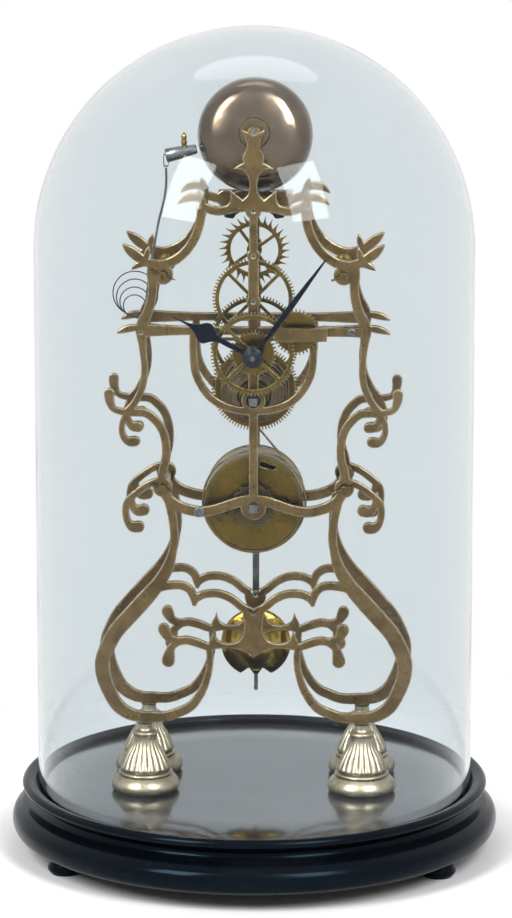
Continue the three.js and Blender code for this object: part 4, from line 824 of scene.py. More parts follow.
def cap_faces(points, rings, front):
    """Triangles that fill the space between the rings of a flat end."""
    order = [i for ring in rings for i in ring]
    flat = [Vector((points[i][0], points[i][2])) for i in order]
    outlines, holes, start = [], set(), 0
    for number, ring in enumerate(rings):
        outline = list(range(start, start + len(ring)))
        start += len(ring)
        if area([flat[i] for i in outline]) < 0:
            holes.add(number)
            outline = outline[::-1]
        outlines.append(outline)
    _, _, made, origins, _, within = delaunay_2d_cdt(flat, [], outlines, 1, 1e-6, True)
    faces = []
    for face, inside in zip(made, within):
        if any(not origins[i] for i in face) or not inside or holes.intersection(inside):
            continue
        corners = [order[origins[i][0]] for i in face]
        if len(set(corners)) < 3:
            continue
        a, b, c = (points[i] for i in corners[:3])
        turn = (b[0] - a[0]) * (c[2] - a[2]) - (c[0] - a[0]) * (b[2] - a[2])
        if (turn > 0) == front:
            corners = corners[::-1]
        faces.append(corners)
    return faces


def both_sides(shapes):
    return shapes + [[(-x, z) for x, z in shape][::-1] for shape in shapes]


def turned_about(loops, angle, x, z):
    """Loops turned clockwise, as seen from the front, and set down at (x, z)."""
    c, s = math.cos(angle), math.sin(angle)
    return [[(x + px * c + pz * s, z - px * s + pz * c) for px, pz in loop] for loop in loops]


# The pierced plates. Each row of a bar is (x, z, half width), as shares of the frame's half width, of its height
# and of the bar. Only the right half is written, and the left mirrors it.
CROWN_ARM = [(0, 0.879, 0.245), (0.157, 0.869, 0.245), (0.22, 0.866, 0.245), (0.282, 0.87, 0.245),
             (0.33, 0.875, 0.22)]
SIDE_ARM = [(0.327, 0.872, 0.27), (0.335, 0.848, 0.26), (0.368, 0.822, 0.26), (0.423, 0.8, 0.26),
            (0.48, 0.787, 0.27), (0.54, 0.779, 0.28), (0.6, 0.776, 0.29), (0.652, 0.779, 0.28), (0.69, 0.785, 0.2)]
STEM = [(0.63, 0.78, 0.32), (0.638, 0.761, 0.3), (0.634, 0.7445, 0.27), (0.637, 0.728, 0.26), (0.663, 0.7, 0.29),
        (0.7, 0.679, 0.33), (0.707, 0.668, 0.36)]
LEVEL_BAR = [(0.707, 0.668, 0.37), (0.454, 0.668, 0.26), (0.33, 0.668, 0.23), (0, 0.668, 0.23)]
SIDE_BAR = [(0.707, 0.67, 0.36), (0.698, 0.636, 0.2), (0.687, 0.603, 0.2), (0.698, 0.577, 0.2),
            (0.724, 0.559, 0.2), (0.76, 0.543, 0.2), (0.8, 0.532, 0.2)]
SCROLL = [(0.912, 0.562, 0.3), (0.909, 0.55, 0.26), (0.885, 0.536, 0.18), (0.829, 0.531, 0.2), (0.784, 0.53, 0.22),
          (0.683, 0.529, 0.24), (0.633, 0.52, 0.24), (0.591, 0.507, 0.24), (0.562, 0.488, 0.24),
          (0.553, 0.468, 0.24), (0.558, 0.448, 0.24), (0.578, 0.428, 0.26), (0.583, 0.406, 0.28)]
UPPER_CURL = [(0.8, 0.53, 0.16), (0.79, 0.516, 0.18), (0.765, 0.507, 0.27), (0.73, 0.506, 0.3)]
LOWER_CURL = [(0.8, 0.53, 0.18), (0.828, 0.513, 0.18), (0.832, 0.496, 0.18), (0.808, 0.484, 0.22),
              (0.778, 0.481, 0.29), (0.75, 0.4815, 0.29)]
HIP_SCROLL = [(0.589, 0.415, 0.24), (0.66, 0.409, 0.2), (0.737, 0.395, 0.2), (0.802, 0.378, 0.2),
              (0.812, 0.361, 0.2), (0.797, 0.344, 0.22), (0.765, 0.3365, 0.31), (0.73, 0.3365, 0.33)]
HIP_CURL = [(0.775, 0.385, 0.18), (0.765, 0.371, 0.2), (0.735, 0.364, 0.3), (0.697, 0.3655, 0.34)]
YOKE = [(0.567, 0.398, 0.3), (0.539, 0.384, 0.3), (0.477, 0.372, 0.3), (0.35, 0.363, 0.3), (0.254, 0.366, 0.3),
        (0.159, 0.374, 0.3), (0.063, 0.382, 0.3), (0, 0.383, 0.3)]
HARP = [(0.55, 0.392, 0.25), (0.534, 0.375, 0.25), (0.512, 0.349, 0.25), (0.503, 0.319, 0.25), (0.516, 0.293, 0.26),
        (0.548, 0.266, 0.34), (0.612, 0.238, 0.4), (0.689, 0.214, 0.46), (0.804, 0.18, 0.46), (0.882, 0.156, 0.45),
        (0.94, 0.127, 0.44), (0.966, 0.106, 0.43), (0.961, 0.082, 0.42), (0.925, 0.055, 0.4), (0.868, 0.029, 0.38),
        (0.785, 0.0145, 0.35), (0.689, 0.0105, 0.3), (0.642, 0.0105, 0.3), (0.556, 0.0115, 0.29),
        (0.485, 0.018, 0.28), (0.405, 0.0285, 0.27), (0.33, 0.055, 0.23), (0.286, 0.09, 0.2), (0.278, 0.115, 0.2),
        (0.284, 0.131, 0.2)]
OUTER_ARCH = [(0.61, 0.232, 0.24), (0.55, 0.236, 0.24), (0.453, 0.2365, 0.24), (0.402, 0.228, 0.24),
              (0.377, 0.2125, 0.22), (0.377, 0.202, 0.1)]
INNER_ARCH = [(0.38, 0.204, 0.12), (0.361, 0.215, 0.22), (0.312, 0.222, 0.23), (0.223, 0.223, 0.23),
              (0.14, 0.2145, 0.23), (0.077, 0.201, 0.23), (0.011, 0.191, 0.23)]
HEART_ARM = [(0.235, 0.1335, 0.17), (0.289, 0.132, 0.21), (0.364, 0.139, 0.24), (0.429, 0.143, 0.24),
             (0.492, 0.1415, 0.23), (0.54, 0.147, 0.24), (0.566, 0.158, 0.33), (0.572, 0.162, 0.34)]
HEART_CURL = [(0.467, 0.142, 0.2), (0.522, 0.131, 0.22), (0.541, 0.115, 0.34), (0.545, 0.108, 0.38)]
ARCH_RING = [(0.379, 0.668, 0.22), (0.379, 0.633, 0.22), (0.367, 0.599, 0.22), (0.328, 0.575, 0.22),
             (0.268, 0.555, 0.22), (0.19, 0.542, 0.22), (0.098, 0.535, 0.22), (0, 0.533, 0.22)]
SPINE = [(0, 0.879, 0.23), (0, 0.786, 0.24), (0, 0.782, 0.3), (0, 0.6, 0.3), (0, 0.53, 0.26), (0, 0.4, 0.26),
         (0, 0.38, 0.3)]
CURVED_BARS = [CROWN_ARM, SIDE_ARM, STEM, SIDE_BAR, SCROLL, UPPER_CURL, LOWER_CURL, HIP_SCROLL, HIP_CURL, YOKE, HARP,
               OUTER_ARCH, INNER_ARCH, HEART_ARM, HEART_CURL, ARCH_RING]
# The bars' ends that are round, as in a curl
BALL_ENDS = [SCROLL[0], UPPER_CURL[-1], LOWER_CURL[-1], HIP_SCROLL[-1], HIP_CURL[-1], HEART_ARM[-1], HEART_CURL[-1]]
# Leaves: (root x, root z, tip x, tip z, width, arch to the left of the way from root to tip)
LEAVES = [(0.305, 0.88, 0.475, 0.877, 0.46, 0.24), (0.31, 0.876, 0.345, 0.902, 0.4, -0.03),
          (0.655, 0.777, 0.823, 0.811, 0.58, -0.02), (0.69, 0.78, 0.66, 0.807, 0.36, 0.05),
          (0.66, 0.777, 0.766, 0.769, 0.34, 0.14), (0.69, 0.672, 0.861, 0.663, 0.42, 0.08)]
# Solid fields of the plates, the right half of each as runs that meet in its sharp corners.
CREST = [[(0, 0.9911), (0.073, 1)],
         [(0.073, 1), (0.062, 0.9935), (0.048, 0.9841), (0.04, 0.9778), (0.043, 0.9707), (0.058, 0.9613),
          (0.069, 0.9545), (0.062, 0.9456)],
         [(0.062, 0.9456), (0.085, 0.943), (0.123, 0.9362)],
         [(0.123, 0.9362), (0.071, 0.935), (0.042, 0.9277), (0.028, 0.9166), (0.025, 0.9036), (0.037, 0.893),
          (0.068, 0.8848)],
         [(0.068, 0.8848), (0.1, 0.8914), (0.149, 0.9018)],
         [(0.149, 0.9018), (0.144, 0.8919), (0.15, 0.8813), (0.17, 0.8743)],
         [(0.17, 0.8743), (0.17, 0.866), (0, 0.866)]]
SHIELD = [[(0, 0.1882), (0.071, 0.2)],
          [(0.071, 0.2), (0.07, 0.1872), (0.06, 0.1769), (0.059, 0.1614), (0.071, 0.151), (0.096, 0.1424),
           (0.139, 0.1384), (0.19, 0.1388), (0.225, 0.143), (0.243, 0.1499), (0.252, 0.1617)],
          [(0.252, 0.1617), (0.264, 0.152), (0.283, 0.1428), (0.289, 0.1352)],
          [(0.289, 0.1352), (0.287, 0.1296), (0.235, 0.1288), (0.133, 0.13), (0.071, 0.1254), (0.03, 0.1198),
           (0, 0.1142)]]
PILLARS = [(-0.568, 0.761), (0.568, 0.761), (-0.576, 0.404), (0.576, 0.404)]
PILLAR_NAMES = ["upper_left", "upper_right", "lower_left", "lower_right"]
FOOT_X = FRAME_HALF * (0.625 + 0.764) / 2
BOSS = 5.7
PILLAR_NECK = 2.3


def stations(rows):
    return [(x * FRAME_HALF, at_height(z), w * BAR) for x, z, w in rows]


def leaf_shape(x0, z0, x1, z1, width, arch):
    """A leaf from root to tip that swells past its middle, bent to one side by its arch."""
    x0, x1, z0, z1 = x0 * FRAME_HALF, x1 * FRAME_HALF, at_height(z0), at_height(z1)
    w = width * BAR
    along = (x1 - x0, z1 - z0)
    across = (-along[1], along[0])
    long = math.hypot(*along)
    rows = [(0, w * 0.34), (0.25, w * 0.43), (0.5, w / 2), (0.72, w * 0.43), (0.88, w * 0.26), (1, w / 14)]
    return [(x0 + t * along[0] + 4 * arch * t * (1 - t) * across[0],
             z0 + t * along[1] + 4 * arch * t * (1 - t) * across[1], h) for t, h in rows]


def field(runs):
    """A solid field of a plate: the runs of its right half, and their mirror image."""
    right = [tuple(p) for run in runs for p in smooth_run([(x * FRAME_HALF, at_height(z)) for x, z in run], 4)[:-1]]
    right.append((0, at_height(runs[-1][-1][1])))
    return right + [(-x, z) for x, z in right[-2:0:-1]]


def plate_loops(extras, bores):
    """The outlines of a plate: what both plates share, with one plate's own shapes and bores."""
    shapes = []
    for bar in CURVED_BARS:
        shapes += bar_shapes(stations(bar), 5)
    shapes += bar_shapes(stations(LEVEL_BAR), 0)
    for leaf in LEAVES:
        shapes += bar_shapes(leaf_shape(*leaf), 4)
    shapes += [circle(x * FRAME_HALF, at_height(z), w * BAR, 32) for x, z, w in BALL_ENDS]
    shapes.append(rect(FOOT_X - FOOT_NECK * 0.7, FOOT_X + FOOT_NECK * 0.7, FRAME_Z, at_height(0.02)))
    shapes = both_sides(shapes)
    shapes += [circle(x * FRAME_HALF, at_height(z), BOSS, 48) for x, z in PILLARS] + [field(SHIELD)]
    shapes += bar_shapes(stations(SPINE), 0)
    hubs = [(BARREL_Z, 1.3), (FUSEE_Z, 1.2), (CENTRE_Z, 1.2), (THIRD_Z, 0.7), (ESCAPE_Z, 0.65), (PALLET_Z, 0.8)]
    shapes += [circle(0, z, share * BOSS, 48) for z, share in hubs]
    holes = [(0, ESCAPE_Z, PIVOT), (0, THIRD_Z, PIVOT), (HAMMER_X, HAMMER_Z, PIVOT)]
    holes += [(x * FRAME_HALF, at_height(z), PILLAR_NECK) for x, z in PILLARS] + bores
    cuts = [circle(x, z, r + HOLE_ROOM, 24) for x, z, r in holes]
    return joined_outlines(shapes + extras, cuts)


def front_plate():
    bores = [(0, PALLET_Z, PIVOT), (0, CENTRE_Z, 1.5), (0, FUSEE_Z, 3.9), (0, BARREL_Z, 3),
             (MOTION_X, MOTION_Z, PIVOT), (CLICK_X, CLICK_Z, PIVOT)]
    loops = plate_loops([field(CREST)], bores)
    new_piece("pierced_front_plate", [flat_piece(loops, -OUTER, -INNER, 0.4)], AGED_BRASS, "front_plate",
              30)


def back_plate():
    lugs = [circle(side * 17.3, PALLET_Z, 5, 40) for side in (1, -1)]
    neck = rect(-3.5, 3.5, at_height(0.879), BELL_Z - BELL_RADIUS + 12)
    bores = [(0, PALLET_Z, 1.5), (0, CENTRE_Z, PIVOT), (0, FUSEE_Z, PIVOT), (0, BARREL_Z, PIVOT)]
    loops = plate_loops(lugs + [neck], bores)
    new_piece("pierced_back_plate", [flat_piece(loops, INNER, OUTER, 0.4)], AGED_BRASS, "back_plate",
              30)


# The turned base, its bun feet, the dome and the brass feet


def arc(cx, cy, radius, start, end, steps):
    return [(cx + radius * math.cos(math.radians(start + (end - start) * k / steps)),
             cy + radius * math.sin(math.radians(start + (end - start) * k / steps))) for k in range(steps + 1)]


def base_profile():
    t, bun = BASE_THICK, BUN_HEIGHT
    cove = RIM_RADIUS - RIM_WIDTH
    top = PLATFORM + RIM_RISE
    under = [(0, bun), (BASE_RADIUS - 2 * TORUS, bun)]
    swell = smooth_run([(BASE_RADIUS - 2 * TORUS, bun), (BASE_RADIUS - TORUS * 0.3, bun + t * 0.15),
                        (BASE_RADIUS, bun + t * 0.34), (BASE_RADIUS - TORUS * 0.25, bun + t * 0.5),
                        (BASE_RADIUS - TORUS, bun + t * 0.62)], 7)
    hollow = smooth_run([(BASE_RADIUS - TORUS, bun + t * 0.62), (cove + RIM_WIDTH * 0.3, bun + t * 0.66),
                         (cove, bun + t * 0.78), (cove + RIM_WIDTH * 0.3, bun + t * 0.88),
                         (RIM_RADIUS - RIM_WIDTH * 0.1, bun + t * 0.94)], 6)
    rim = smooth_run([(RIM_RADIUS - RIM_WIDTH * 0.1, bun + t * 0.94), (RIM_RADIUS, PLATFORM + RIM_RISE * 0.2),
                      (RIM_RADIUS - RIM_WIDTH * 0.3, top), (GROOVE_OUT + 0.4, top - RIM_RISE * 0.4)], 6)
    groove = [(GROOVE_OUT, top - RIM_RISE * 0.4 - 0.3), (GROOVE_OUT, PLATFORM - GROOVE),
              (GROOVE_IN, PLATFORM - GROOVE), (GROOVE_IN, PLATFORM - 0.6), (GROOVE_IN - 0.25, PLATFORM - 0.15),
              (GROOVE_IN - 0.8, PLATFORM), (GROOVE_IN * 0.7, PLATFORM), (0, PLATFORM)]
    return under + swell + hollow[1:] + rim[1:] + groove


def wooden_base():
    base = new_piece("turned_base", [turned_z(base_profile(), 0, 0, 160)], EBONY, "wooden_base", 50)
    base.data.materials.append(PLATFORM_EBONY)
    for face in base.data.polygons:
        if face.center.z > (PLATFORM - 0.5) * MM and face.center.xy.length < GROOVE_IN * MM:
            face.material_index = 1


def bun_foot(index):
    a = math.radians(-30 + 120 * index)
    ring = BASE_RADIUS - TORUS - BUN_RADIUS * 1.15
    side = smooth_run([(BUN_RADIUS * 0.8, 0), (BUN_RADIUS, BUN_HEIGHT * 0.4), (BUN_RADIUS * 0.85, BUN_HEIGHT)], 6)
    profile = [(0, 0)] + side + [(0, BUN_HEIGHT)]
    new_piece(f"turned_bun_foot_{index + 1}", [turned_z(profile, ring * math.cos(a), ring * math.sin(a), 40)], EBONY,
              f"bun_foot_{index + 1}", 50)


def glass_dome():
    foot, spring = PLATFORM - GROOVE + SEAT, DOME_TOP - DOME_RADIUS
    inner = DOME_RADIUS - DOME_WALL
    inside = arc(0, spring, inner, 90, 0, 28)
    outside = arc(0, spring, DOME_RADIUS, 0, 90, 28)
    lip = [(inner, foot + 0.8), (inner + 0.5, foot + 0.15), (inner + 1.3, foot), (DOME_RADIUS - 0.5, foot + 0.15),
           (DOME_RADIUS, foot + 0.8)]
    inside[0], outside[-1] = (0, inside[0][1]), (0, outside[-1][1])
    straight = [(DOME_RADIUS, foot + rise) for rise in (1.1, 1.6, 3.0, 8.0)]
    straight += [(DOME_RADIUS, foot + (spring - foot) * k / 8) for k in range(1, 8)]
    profile = inside + [(inner, z) for _, z in straight[::-1]] + lip + straight + outside
    new_piece("blown_glass_dome", [turned_z(profile, 0, 0, 144)], GLASS, "glass_dome", 60)
    bpy.data.objects["blown_glass_dome"].visible_shadow = False


def foot_leaves(angle, height, radius):
    """The cast leaves of a foot: lobes that rise from the ring and close at the neck."""
    low, high, lobe = FOOT_HEIGHT * 0.33, FOOT_HEIGHT * 0.84, 1.3
    if not low < height < high:
        return 0
    share = (height - low) / (high - low)
    swell = math.sin(math.pi * min(share * 1.15, 1)) ** 0.6
    lobes = abs(math.cos(10 * angle)) ** 0.7 - 0.55
    return lobe * lobes * swell * (0.35 + 0.6 * (1 - share))


def brass_foot(name, x, y):
    r, h, n = FOOT_RADIUS, FOOT_HEIGHT, FOOT_NECK
    ring = smooth_run([(r * 0.9, 0), (r * 0.985, h * 0.045), (r, h * 0.1), (r * 0.93, h * 0.18),
                       (r * 0.8, h * 0.245)], 5)
    collar = smooth_run([(r * 0.76, h * 0.25), (r * 0.8, h * 0.275), (r * 0.76, h * 0.3)], 3)
    body = smooth_run([(r * 0.7, h * 0.305), (r * 0.74, h * 0.345), (r * 0.68, h * 0.42), (r * 0.54, h * 0.56),
                       (n * 1.28, h * 0.67), (n * 1.08, h * 0.76), (n * 1.05, h * 0.83)], 8)
    neck = smooth_run([(n * 1.15, h * 0.855), (n * 1.1, h * 0.885), (n * 0.72, h * 0.92), (n * 0.66, h)], 4)
    profile = [(0, 0)] + ring + collar + body + neck + [(0, h)]
    part = turned_z(profile, x, y, 240, foot_leaves)
    new_piece("cast_" + name, [moved(part, shift=(0, 0, PLATFORM))], FOOT_BRASS, name, 50)


# Pillars, pins and screws


def pillar(place, where):
    x, z = place[0] * FRAME_HALF, at_height(place[1])
    end, front, neck = INNER, -OUTER - 4.6, PILLAR_NECK
    half = [(5.0, end)] + smooth_run([(5.2, end - 0.3), (5.2, end - 1.2), (4.6, end - 1.9), (2.9, end - 3.4),
                                      (2.6, end - 4.4), (2.9, end - 7), (3.3, end - 13), (3.4, 0)], 4)
    profile = ([(0, front), (1.9, front), (neck, front + 0.4), (neck, -end)] + [(r, -y) for r, y in half]
               + half[::-1][1:] + [(neck, end), (neck, OUTER), (0, OUTER)])
    new_piece(f"turned_pillar_{where}", [turned_y(profile, x, z, 40)], TURNED_BRASS, f"pillar_{where}",
              40)


def taper_pin(place, where):
    x, z = place[0] * FRAME_HALF, at_height(place[1])
    long, radius = 15.0, 0.65
    profile = [(0, -long / 2), (radius * 0.8, -long / 2), (radius, -long / 2 + 0.3), (radius / 2, long / 2),
               (0, long / 2)]
    lean = math.pi / 2 - math.copysign(0.35, x)
    part = moved(lathe(profile, 16), Matrix.Rotation(lean, 3, "Y"), (x, -OUTER - 2.3, z))
    new_piece(f"steel_pin_{where}", [part], SHADE_DARKENED_STEEL, f"taper_pin_{where}")


def slotted_screw(name, x, z, radius, seat_y, end_y, node_name, tilt):
    """A shank, a low head and two half discs that leave the slot between them."""
    front = seat_y - 1.8
    floor = seat_y - 1.0
    head = [(0, floor), (radius, floor), (radius, seat_y), (PIVOT, seat_y), (PIVOT, end_y), (0, end_y)]
    parts = [turned_y(head, x, z, 40)]
    half_slot = 0.3
    start = math.asin(half_slot / radius)
    for way in (0, math.pi):
        curve = [(radius * math.cos(start + (math.pi - 2 * start) * k / 20),
                  radius * math.sin(start + (math.pi - 2 * start) * k / 20)) for k in range(21)]
        parts.append(flat_piece(turned_about([curve], way + tilt, x, z), front, floor + 0.05, 0.2))
    new_piece(name, parts, STEEL, node_name, 40)


# Wheels


def toothed_loop(x, z, teeth, tooth, start=0.0):
    out = []
    for i in range(teeth):
        for share, radius in tooth:
            a = start + 2 * math.pi * (i + share) / teeth
            out.append((x + radius * math.cos(a), z + radius * math.sin(a)))
    return out


def spur(tip, depth):
    """Half a pitch of tooth with a rounded point and straight flanks, then the gap."""
    root = tip - depth
    return [(0.27, root), (0.3, tip - depth * 0.35), (0.38, tip - depth * 0.08), (0.5, tip),
            (0.62, tip - depth * 0.08), (0.7, tip - depth * 0.35), (0.73, root), (1.0, root)]


def clubbed(tip, depth):
    """An escape wheel's tooth: a straight face, a narrow tip and a long hollow back."""
    root = tip - depth
    return [(0.02, root), (0.3, root + depth * 0.1), (0.62, root + depth * 0.32), (0.82, root + depth * 0.66),
            (0.9, tip), (0.97, tip), (0.985, root + depth * 0.3)]


def crossings(x, z, outer, inner, turn, spokes=4, width=1.9):
    """The windows between a wheel's spokes, with rounded corners, running clockwise."""

    def edge(middle, radius, way, steps):
        swing = math.pi / spokes - width / 2 / radius
        return [(x + radius * math.cos(middle + way * swing * (1 - 2 * k / steps)),
                 z + radius * math.sin(middle + way * swing * (1 - 2 * k / steps))) for k in range(steps + 1)]

    middles = [turn + 2 * math.pi * (i + 0.5) / spokes for i in range(spokes)]
    return [rounded(edge(a, outer, -1, 18) + edge(a, inner, 1, 8), 0.9)[::-1] for a in middles]


def rounded(loop, radius, steps=4):
    """The loop with each corner over 40 degrees turned to a curve."""
    out = []
    for i, p in enumerate(loop):
        a, b = Vector(loop[i - 1]), Vector(loop[(i + 1) % len(loop)])
        p = Vector(p)
        if (p - a).length < 1e-6 or (b - p).length < 1e-6 or abs((p - a).angle(b - p)) < math.radians(40):
            out.append(tuple(p))
            continue
        near = min(radius, (p - a).length * 0.5, (b - p).length * 0.5)
        first, last = p + (a - p).normalized() * near, p + (b - p).normalized() * near
        for k in range(steps + 1):
            t = k / steps
            out.append(tuple(first * (1 - t) ** 2 + p * 2 * t * (1 - t) + last * t * t))
    return out


def wheel(name, axis, teeth, tooth, windows, bore, y, finish, node_name, extra=(), thickness=WHEEL, start=0.0):
    """A flat wheel about its axis (x, z), with its teeth, windows and bore."""
    loops = [toothed_loop(*axis, teeth, tooth, start)] + windows + [circle(*axis, bore, 40)[::-1]]
    new_piece(name, [flat_piece(loops, y, y + thickness, 0.12)] + list(extra), finish, node_name, 34, axis=axis)


def sleeve(x, z, bore, outer, y0, y1, sides=40):
    edge = 0.15
    profile = [(bore, y1), (bore, y0), (outer - edge, y0), (outer, y0 + edge), (outer, y1 - edge), (outer - edge, y1),
               (bore, y1)]
    return turned_y(profile, x, z, sides)


def going_wheels():
    centre, third, fusee, escape = [(0, z) for z in (CENTRE_Z, THIRD_Z, FUSEE_Z, ESCAPE_Z)]
    wheel("crossed_centre_wheel", centre, 80, spur(CENTRE_RADIUS, TOOTH),
          crossings(*centre, CENTRE_RADIUS - RIM, HUB, 0), ARBOR_BORE, CENTRE_Y, WHEEL_BRASS, "centre_wheel")
    wheel("crossed_third_wheel", third, 72, spur(THIRD_RADIUS, TOOTH),
          crossings(*third, THIRD_RADIUS - RIM, HUB, math.pi / 4), ARBOR_BORE, THIRD_Y, WHEEL_BRASS, "third_wheel")
    wheel("solid_great_wheel", fusee, 84, spur(GREAT_RADIUS, 2.2), [], SQUARE_BORE, GREAT_Y, FACED_BRASS,
          "great_wheel", thickness=GREAT)
    wheel("crossed_escape_wheel", escape, 30, clubbed(ESCAPE_TIP, 4.4),
          crossings(*escape, ESCAPE_TIP - 6.6, HUB, math.pi / 5), ARBOR_BORE, ESCAPE_Y, WHEEL_BRASS, "escape_wheel")


def motion_work():
    centre, motion = (0, CENTRE_Z), (MOTION_X, MOTION_Z)
    pipe = sleeve(*centre, CANNON_BORE, CANNON_OUT, MINUTE_HAND_Y, DIAL_Y + WHEEL / 2)
    wheel("cannon_wheel_and_pipe", centre, 36, spur(DIAL_RADIUS, TOOTH), [], CANNON_BORE, DIAL_Y, FACED_BRASS,
          "cannon_wheel", [pipe])
    pipe = sleeve(*centre, HOUR_BORE, HOUR_OUT, HOUR_HAND_Y, HOUR_Y + WHEEL / 2)
    wheel("hour_wheel_and_pipe", centre, 72, spur(HOUR_RADIUS, TOOTH),
          crossings(*centre, HOUR_RADIUS - RIM, HOUR_OUT + 0.95, math.pi / 4), HOUR_BORE, HOUR_Y, FACED_BRASS,
          "hour_wheel", [pipe])
    pinion = flat_piece([toothed_loop(*motion, 6, spur(MOTION_PINION, 0.8))], HOUR_Y - 0.45, DIAL_Y + 0.1, 0.08)
    front = COCK_Y - 1.8  # inside the cock's leaf
    pivot = turned_y([(0, front), (PIVOT, front), (PIVOT, -PLATE_MID), (0, -PLATE_MID)], *motion, 24)
    wheel("motion_wheel_and_pinion", motion, 36, spur(DIAL_RADIUS, TOOTH), [], 0.95, DIAL_Y, FACED_BRASS,
          "motion_wheel", [pinion, pivot], start=math.pi / 36)


# Fusee, line, barrel and spring


def fusee_radius(y):
    share = max(0.0, (y - FUSEE_FRONT) / FUSEE_LONG)
    return FUSEE_SMALL + (FUSEE_LARGE - FUSEE_SMALL) * share**1.4


def fusee_cone():
    """The waisted cone with the line's groove running round it as a screw."""
    sides, rows, groove, fading = 72, 96, 0.28, 1.5
    points, faces, run = [], [], []

    def plain_ring(radius, y):
        points.extend((x, y, z) for x, z in circle(0, FUSEE_Z, radius, sides))
        run.extend([radius] * sides)

    plain_ring(SQUARE_BORE, FUSEE_FRONT)
    plain_ring(fusee_radius(FUSEE_FRONT) - 0.5, FUSEE_FRONT)
    for j in range(rows + 1):
        y = FUSEE_FRONT + FUSEE_LONG * j / rows
        fade = min(1, (y - FUSEE_FRONT) / fading, (FUSEE_BACK - y) / fading)
        for k in range(sides):
            a = 2 * math.pi * k / sides
            turn = (y - FUSEE_FRONT) / LINE_PITCH + k / sides
            radius = fusee_radius(y) - groove * fade * (0.5 + 0.5 * math.cos(2 * math.pi * turn))
            points.append((radius * math.cos(a), y, FUSEE_Z + radius * math.sin(a)))
            run.append(20 + y)
    plain_ring(SQUARE_BORE, FUSEE_BACK)
    rings = rows + 4
    for j in range(rings):
        for k in range(sides):
            n = (k + 1) % sides
            low, high = j * sides, ((j + 1) % rings) * sides
            faces.append([low + n, low + k, high + k, high + n])
    new_piece("grooved_fusee", [(points, faces, run)], TURNED_BRASS, "fusee_cone", 50)


def line_path():
    """The gut line: eight turns on the fusee, the run across, and the lap round the barrel."""
    turns, pitch = 8, LINE_PITCH
    stand = SEAT + LINE_RADIUS
    start = FUSEE_FRONT + pitch
    small = fusee_radius(start) + stand
    large = BARREL_RADIUS + stand
    leave = math.pi + math.asin((small + large) / (FUSEE_Z - BARREL_Z))
    path = []
    for i in range(turns * 48, -1, -1):
        y = start + pitch * i / 48
        a = leave - 2 * math.pi * i / 48
        r = fusee_radius(y) + stand + 0.02
        path.append((r * math.cos(a), y, FUSEE_Z + r * math.sin(a)))
    for i in range(int(1.25 * 64) + 1):
        a = leave - math.pi - 2 * math.pi * i / 64
        path.append((large * math.cos(a), start + pitch * i / 64, BARREL_Z + large * math.sin(a)))
    return path


def barrel():
    """An open drum with a raised band at each end."""
    r, front, back, bore = BARREL_RADIUS, BARREL_FRONT, BARREL_BACK, SQUARE_BORE
    inner, floor = r - BARREL_WALL, back - BARREL_WALL
    profile = [(bore, floor), (inner, floor), (inner, front), (r - 0.4, front), (r, front + 0.4), (r, front + 2.2),
               (r - 0.3, front + 2.5), (r - 0.3, back - 2.5), (r, back - 2.2), (r, back - 0.4), (r - 0.4, back),
               (bore, back), (bore, floor)]
    new_piece("turned_barrel", [turned_y(profile, 0, BARREL_Z, 96)], TURNED_BRASS, "barrel", 34)


def barrel_cover():
    radius, y = BARREL_RADIUS - BARREL_WALL - SEAT, BARREL_FRONT + 1.5
    window = [(x * radius, BARREL_Z + z * radius) for x, z in ((0.11, 0.82), (0.44, 0.74), (0.5, 0.82), (0.12, 0.95))]
    window = anticlockwise(rounded(window, 2.0, 5))[::-1]
    loops = [circle(0, BARREL_Z, radius, 96), circle(0, BARREL_Z, SQUARE_BORE, 40)[::-1], window]
    boss = sleeve(0, BARREL_Z, SQUARE_BORE, 6.6, y - 0.5, y + 0.4, 64)
    new_piece("barrel_cover_plate", [flat_piece(loops, y, y + 1.5, 0.25), boss], FACED_BRASS, "barrel_cover",
              34, axis=(0, BARREL_Z))


def mainspring():
    """The spring's coils, thin and close, between the barrel's floor and its cover."""
    y0, y1 = BARREL_FRONT + 3 + SEAT, BARREL_BACK - BARREL_WALL - SEAT
    outer = BARREL_RADIUS - BARREL_WALL - 0.4 - SEAT
    inner = 3.0 + 0.8 + SEAT
    turns, steps = 4, 64
    path = [(inner + (outer - inner) * i / (turns * steps), 2 * math.pi * i / steps)
            for i in range(turns * steps + 1)]
    band = ribbon([(r * math.cos(a), BARREL_Z + r * math.sin(a), 0.4) for r, a in path])
    new_piece("coiled_mainspring", [flat_piece([band], y0, y1, 0.1)], BLUED_STEEL, "mainspring", 40)


def ratchet_and_click():
    teeth = [(0.02, 11.3), (0.5, 12.0), (0.93, 13.0), (0.97, 12.9)]
    loops = [toothed_loop(0, BARREL_Z, 14, teeth), circle(0, BARREL_Z, SQUARE_BORE, 40)[::-1]]
    back = RATCHET_Y + RATCHET
    new_piece("ratchet_with_teeth", [flat_piece(loops, RATCHET_Y, back, 0.15)], SHADE_DARKENED_STEEL, "ratchet_wheel",
              34)
    nose_x, nose_z, half = -13.6, CLICK_Z - 1.8, 1.8
    rows = [(CLICK_X - half, CLICK_Z, half), (CLICK_X, CLICK_Z, half * 1.2),
            ((nose_x + CLICK_X) / 2, nose_z, half * 0.8), (nose_x, nose_z, half * 0.4)]
    shapes = bar_shapes(rows, 6) + [circle(CLICK_X - half * 0.6, CLICK_Z, half * 1.15, 32)]
    loops = joined_outlines(shapes, [circle(CLICK_X, CLICK_Z, 1.2, 24)])
    new_piece("curved_click", [flat_piece(loops, RATCHET_Y, back, 0.2)], SHADE_DARKENED_STEEL, "click", 34)


# Hands


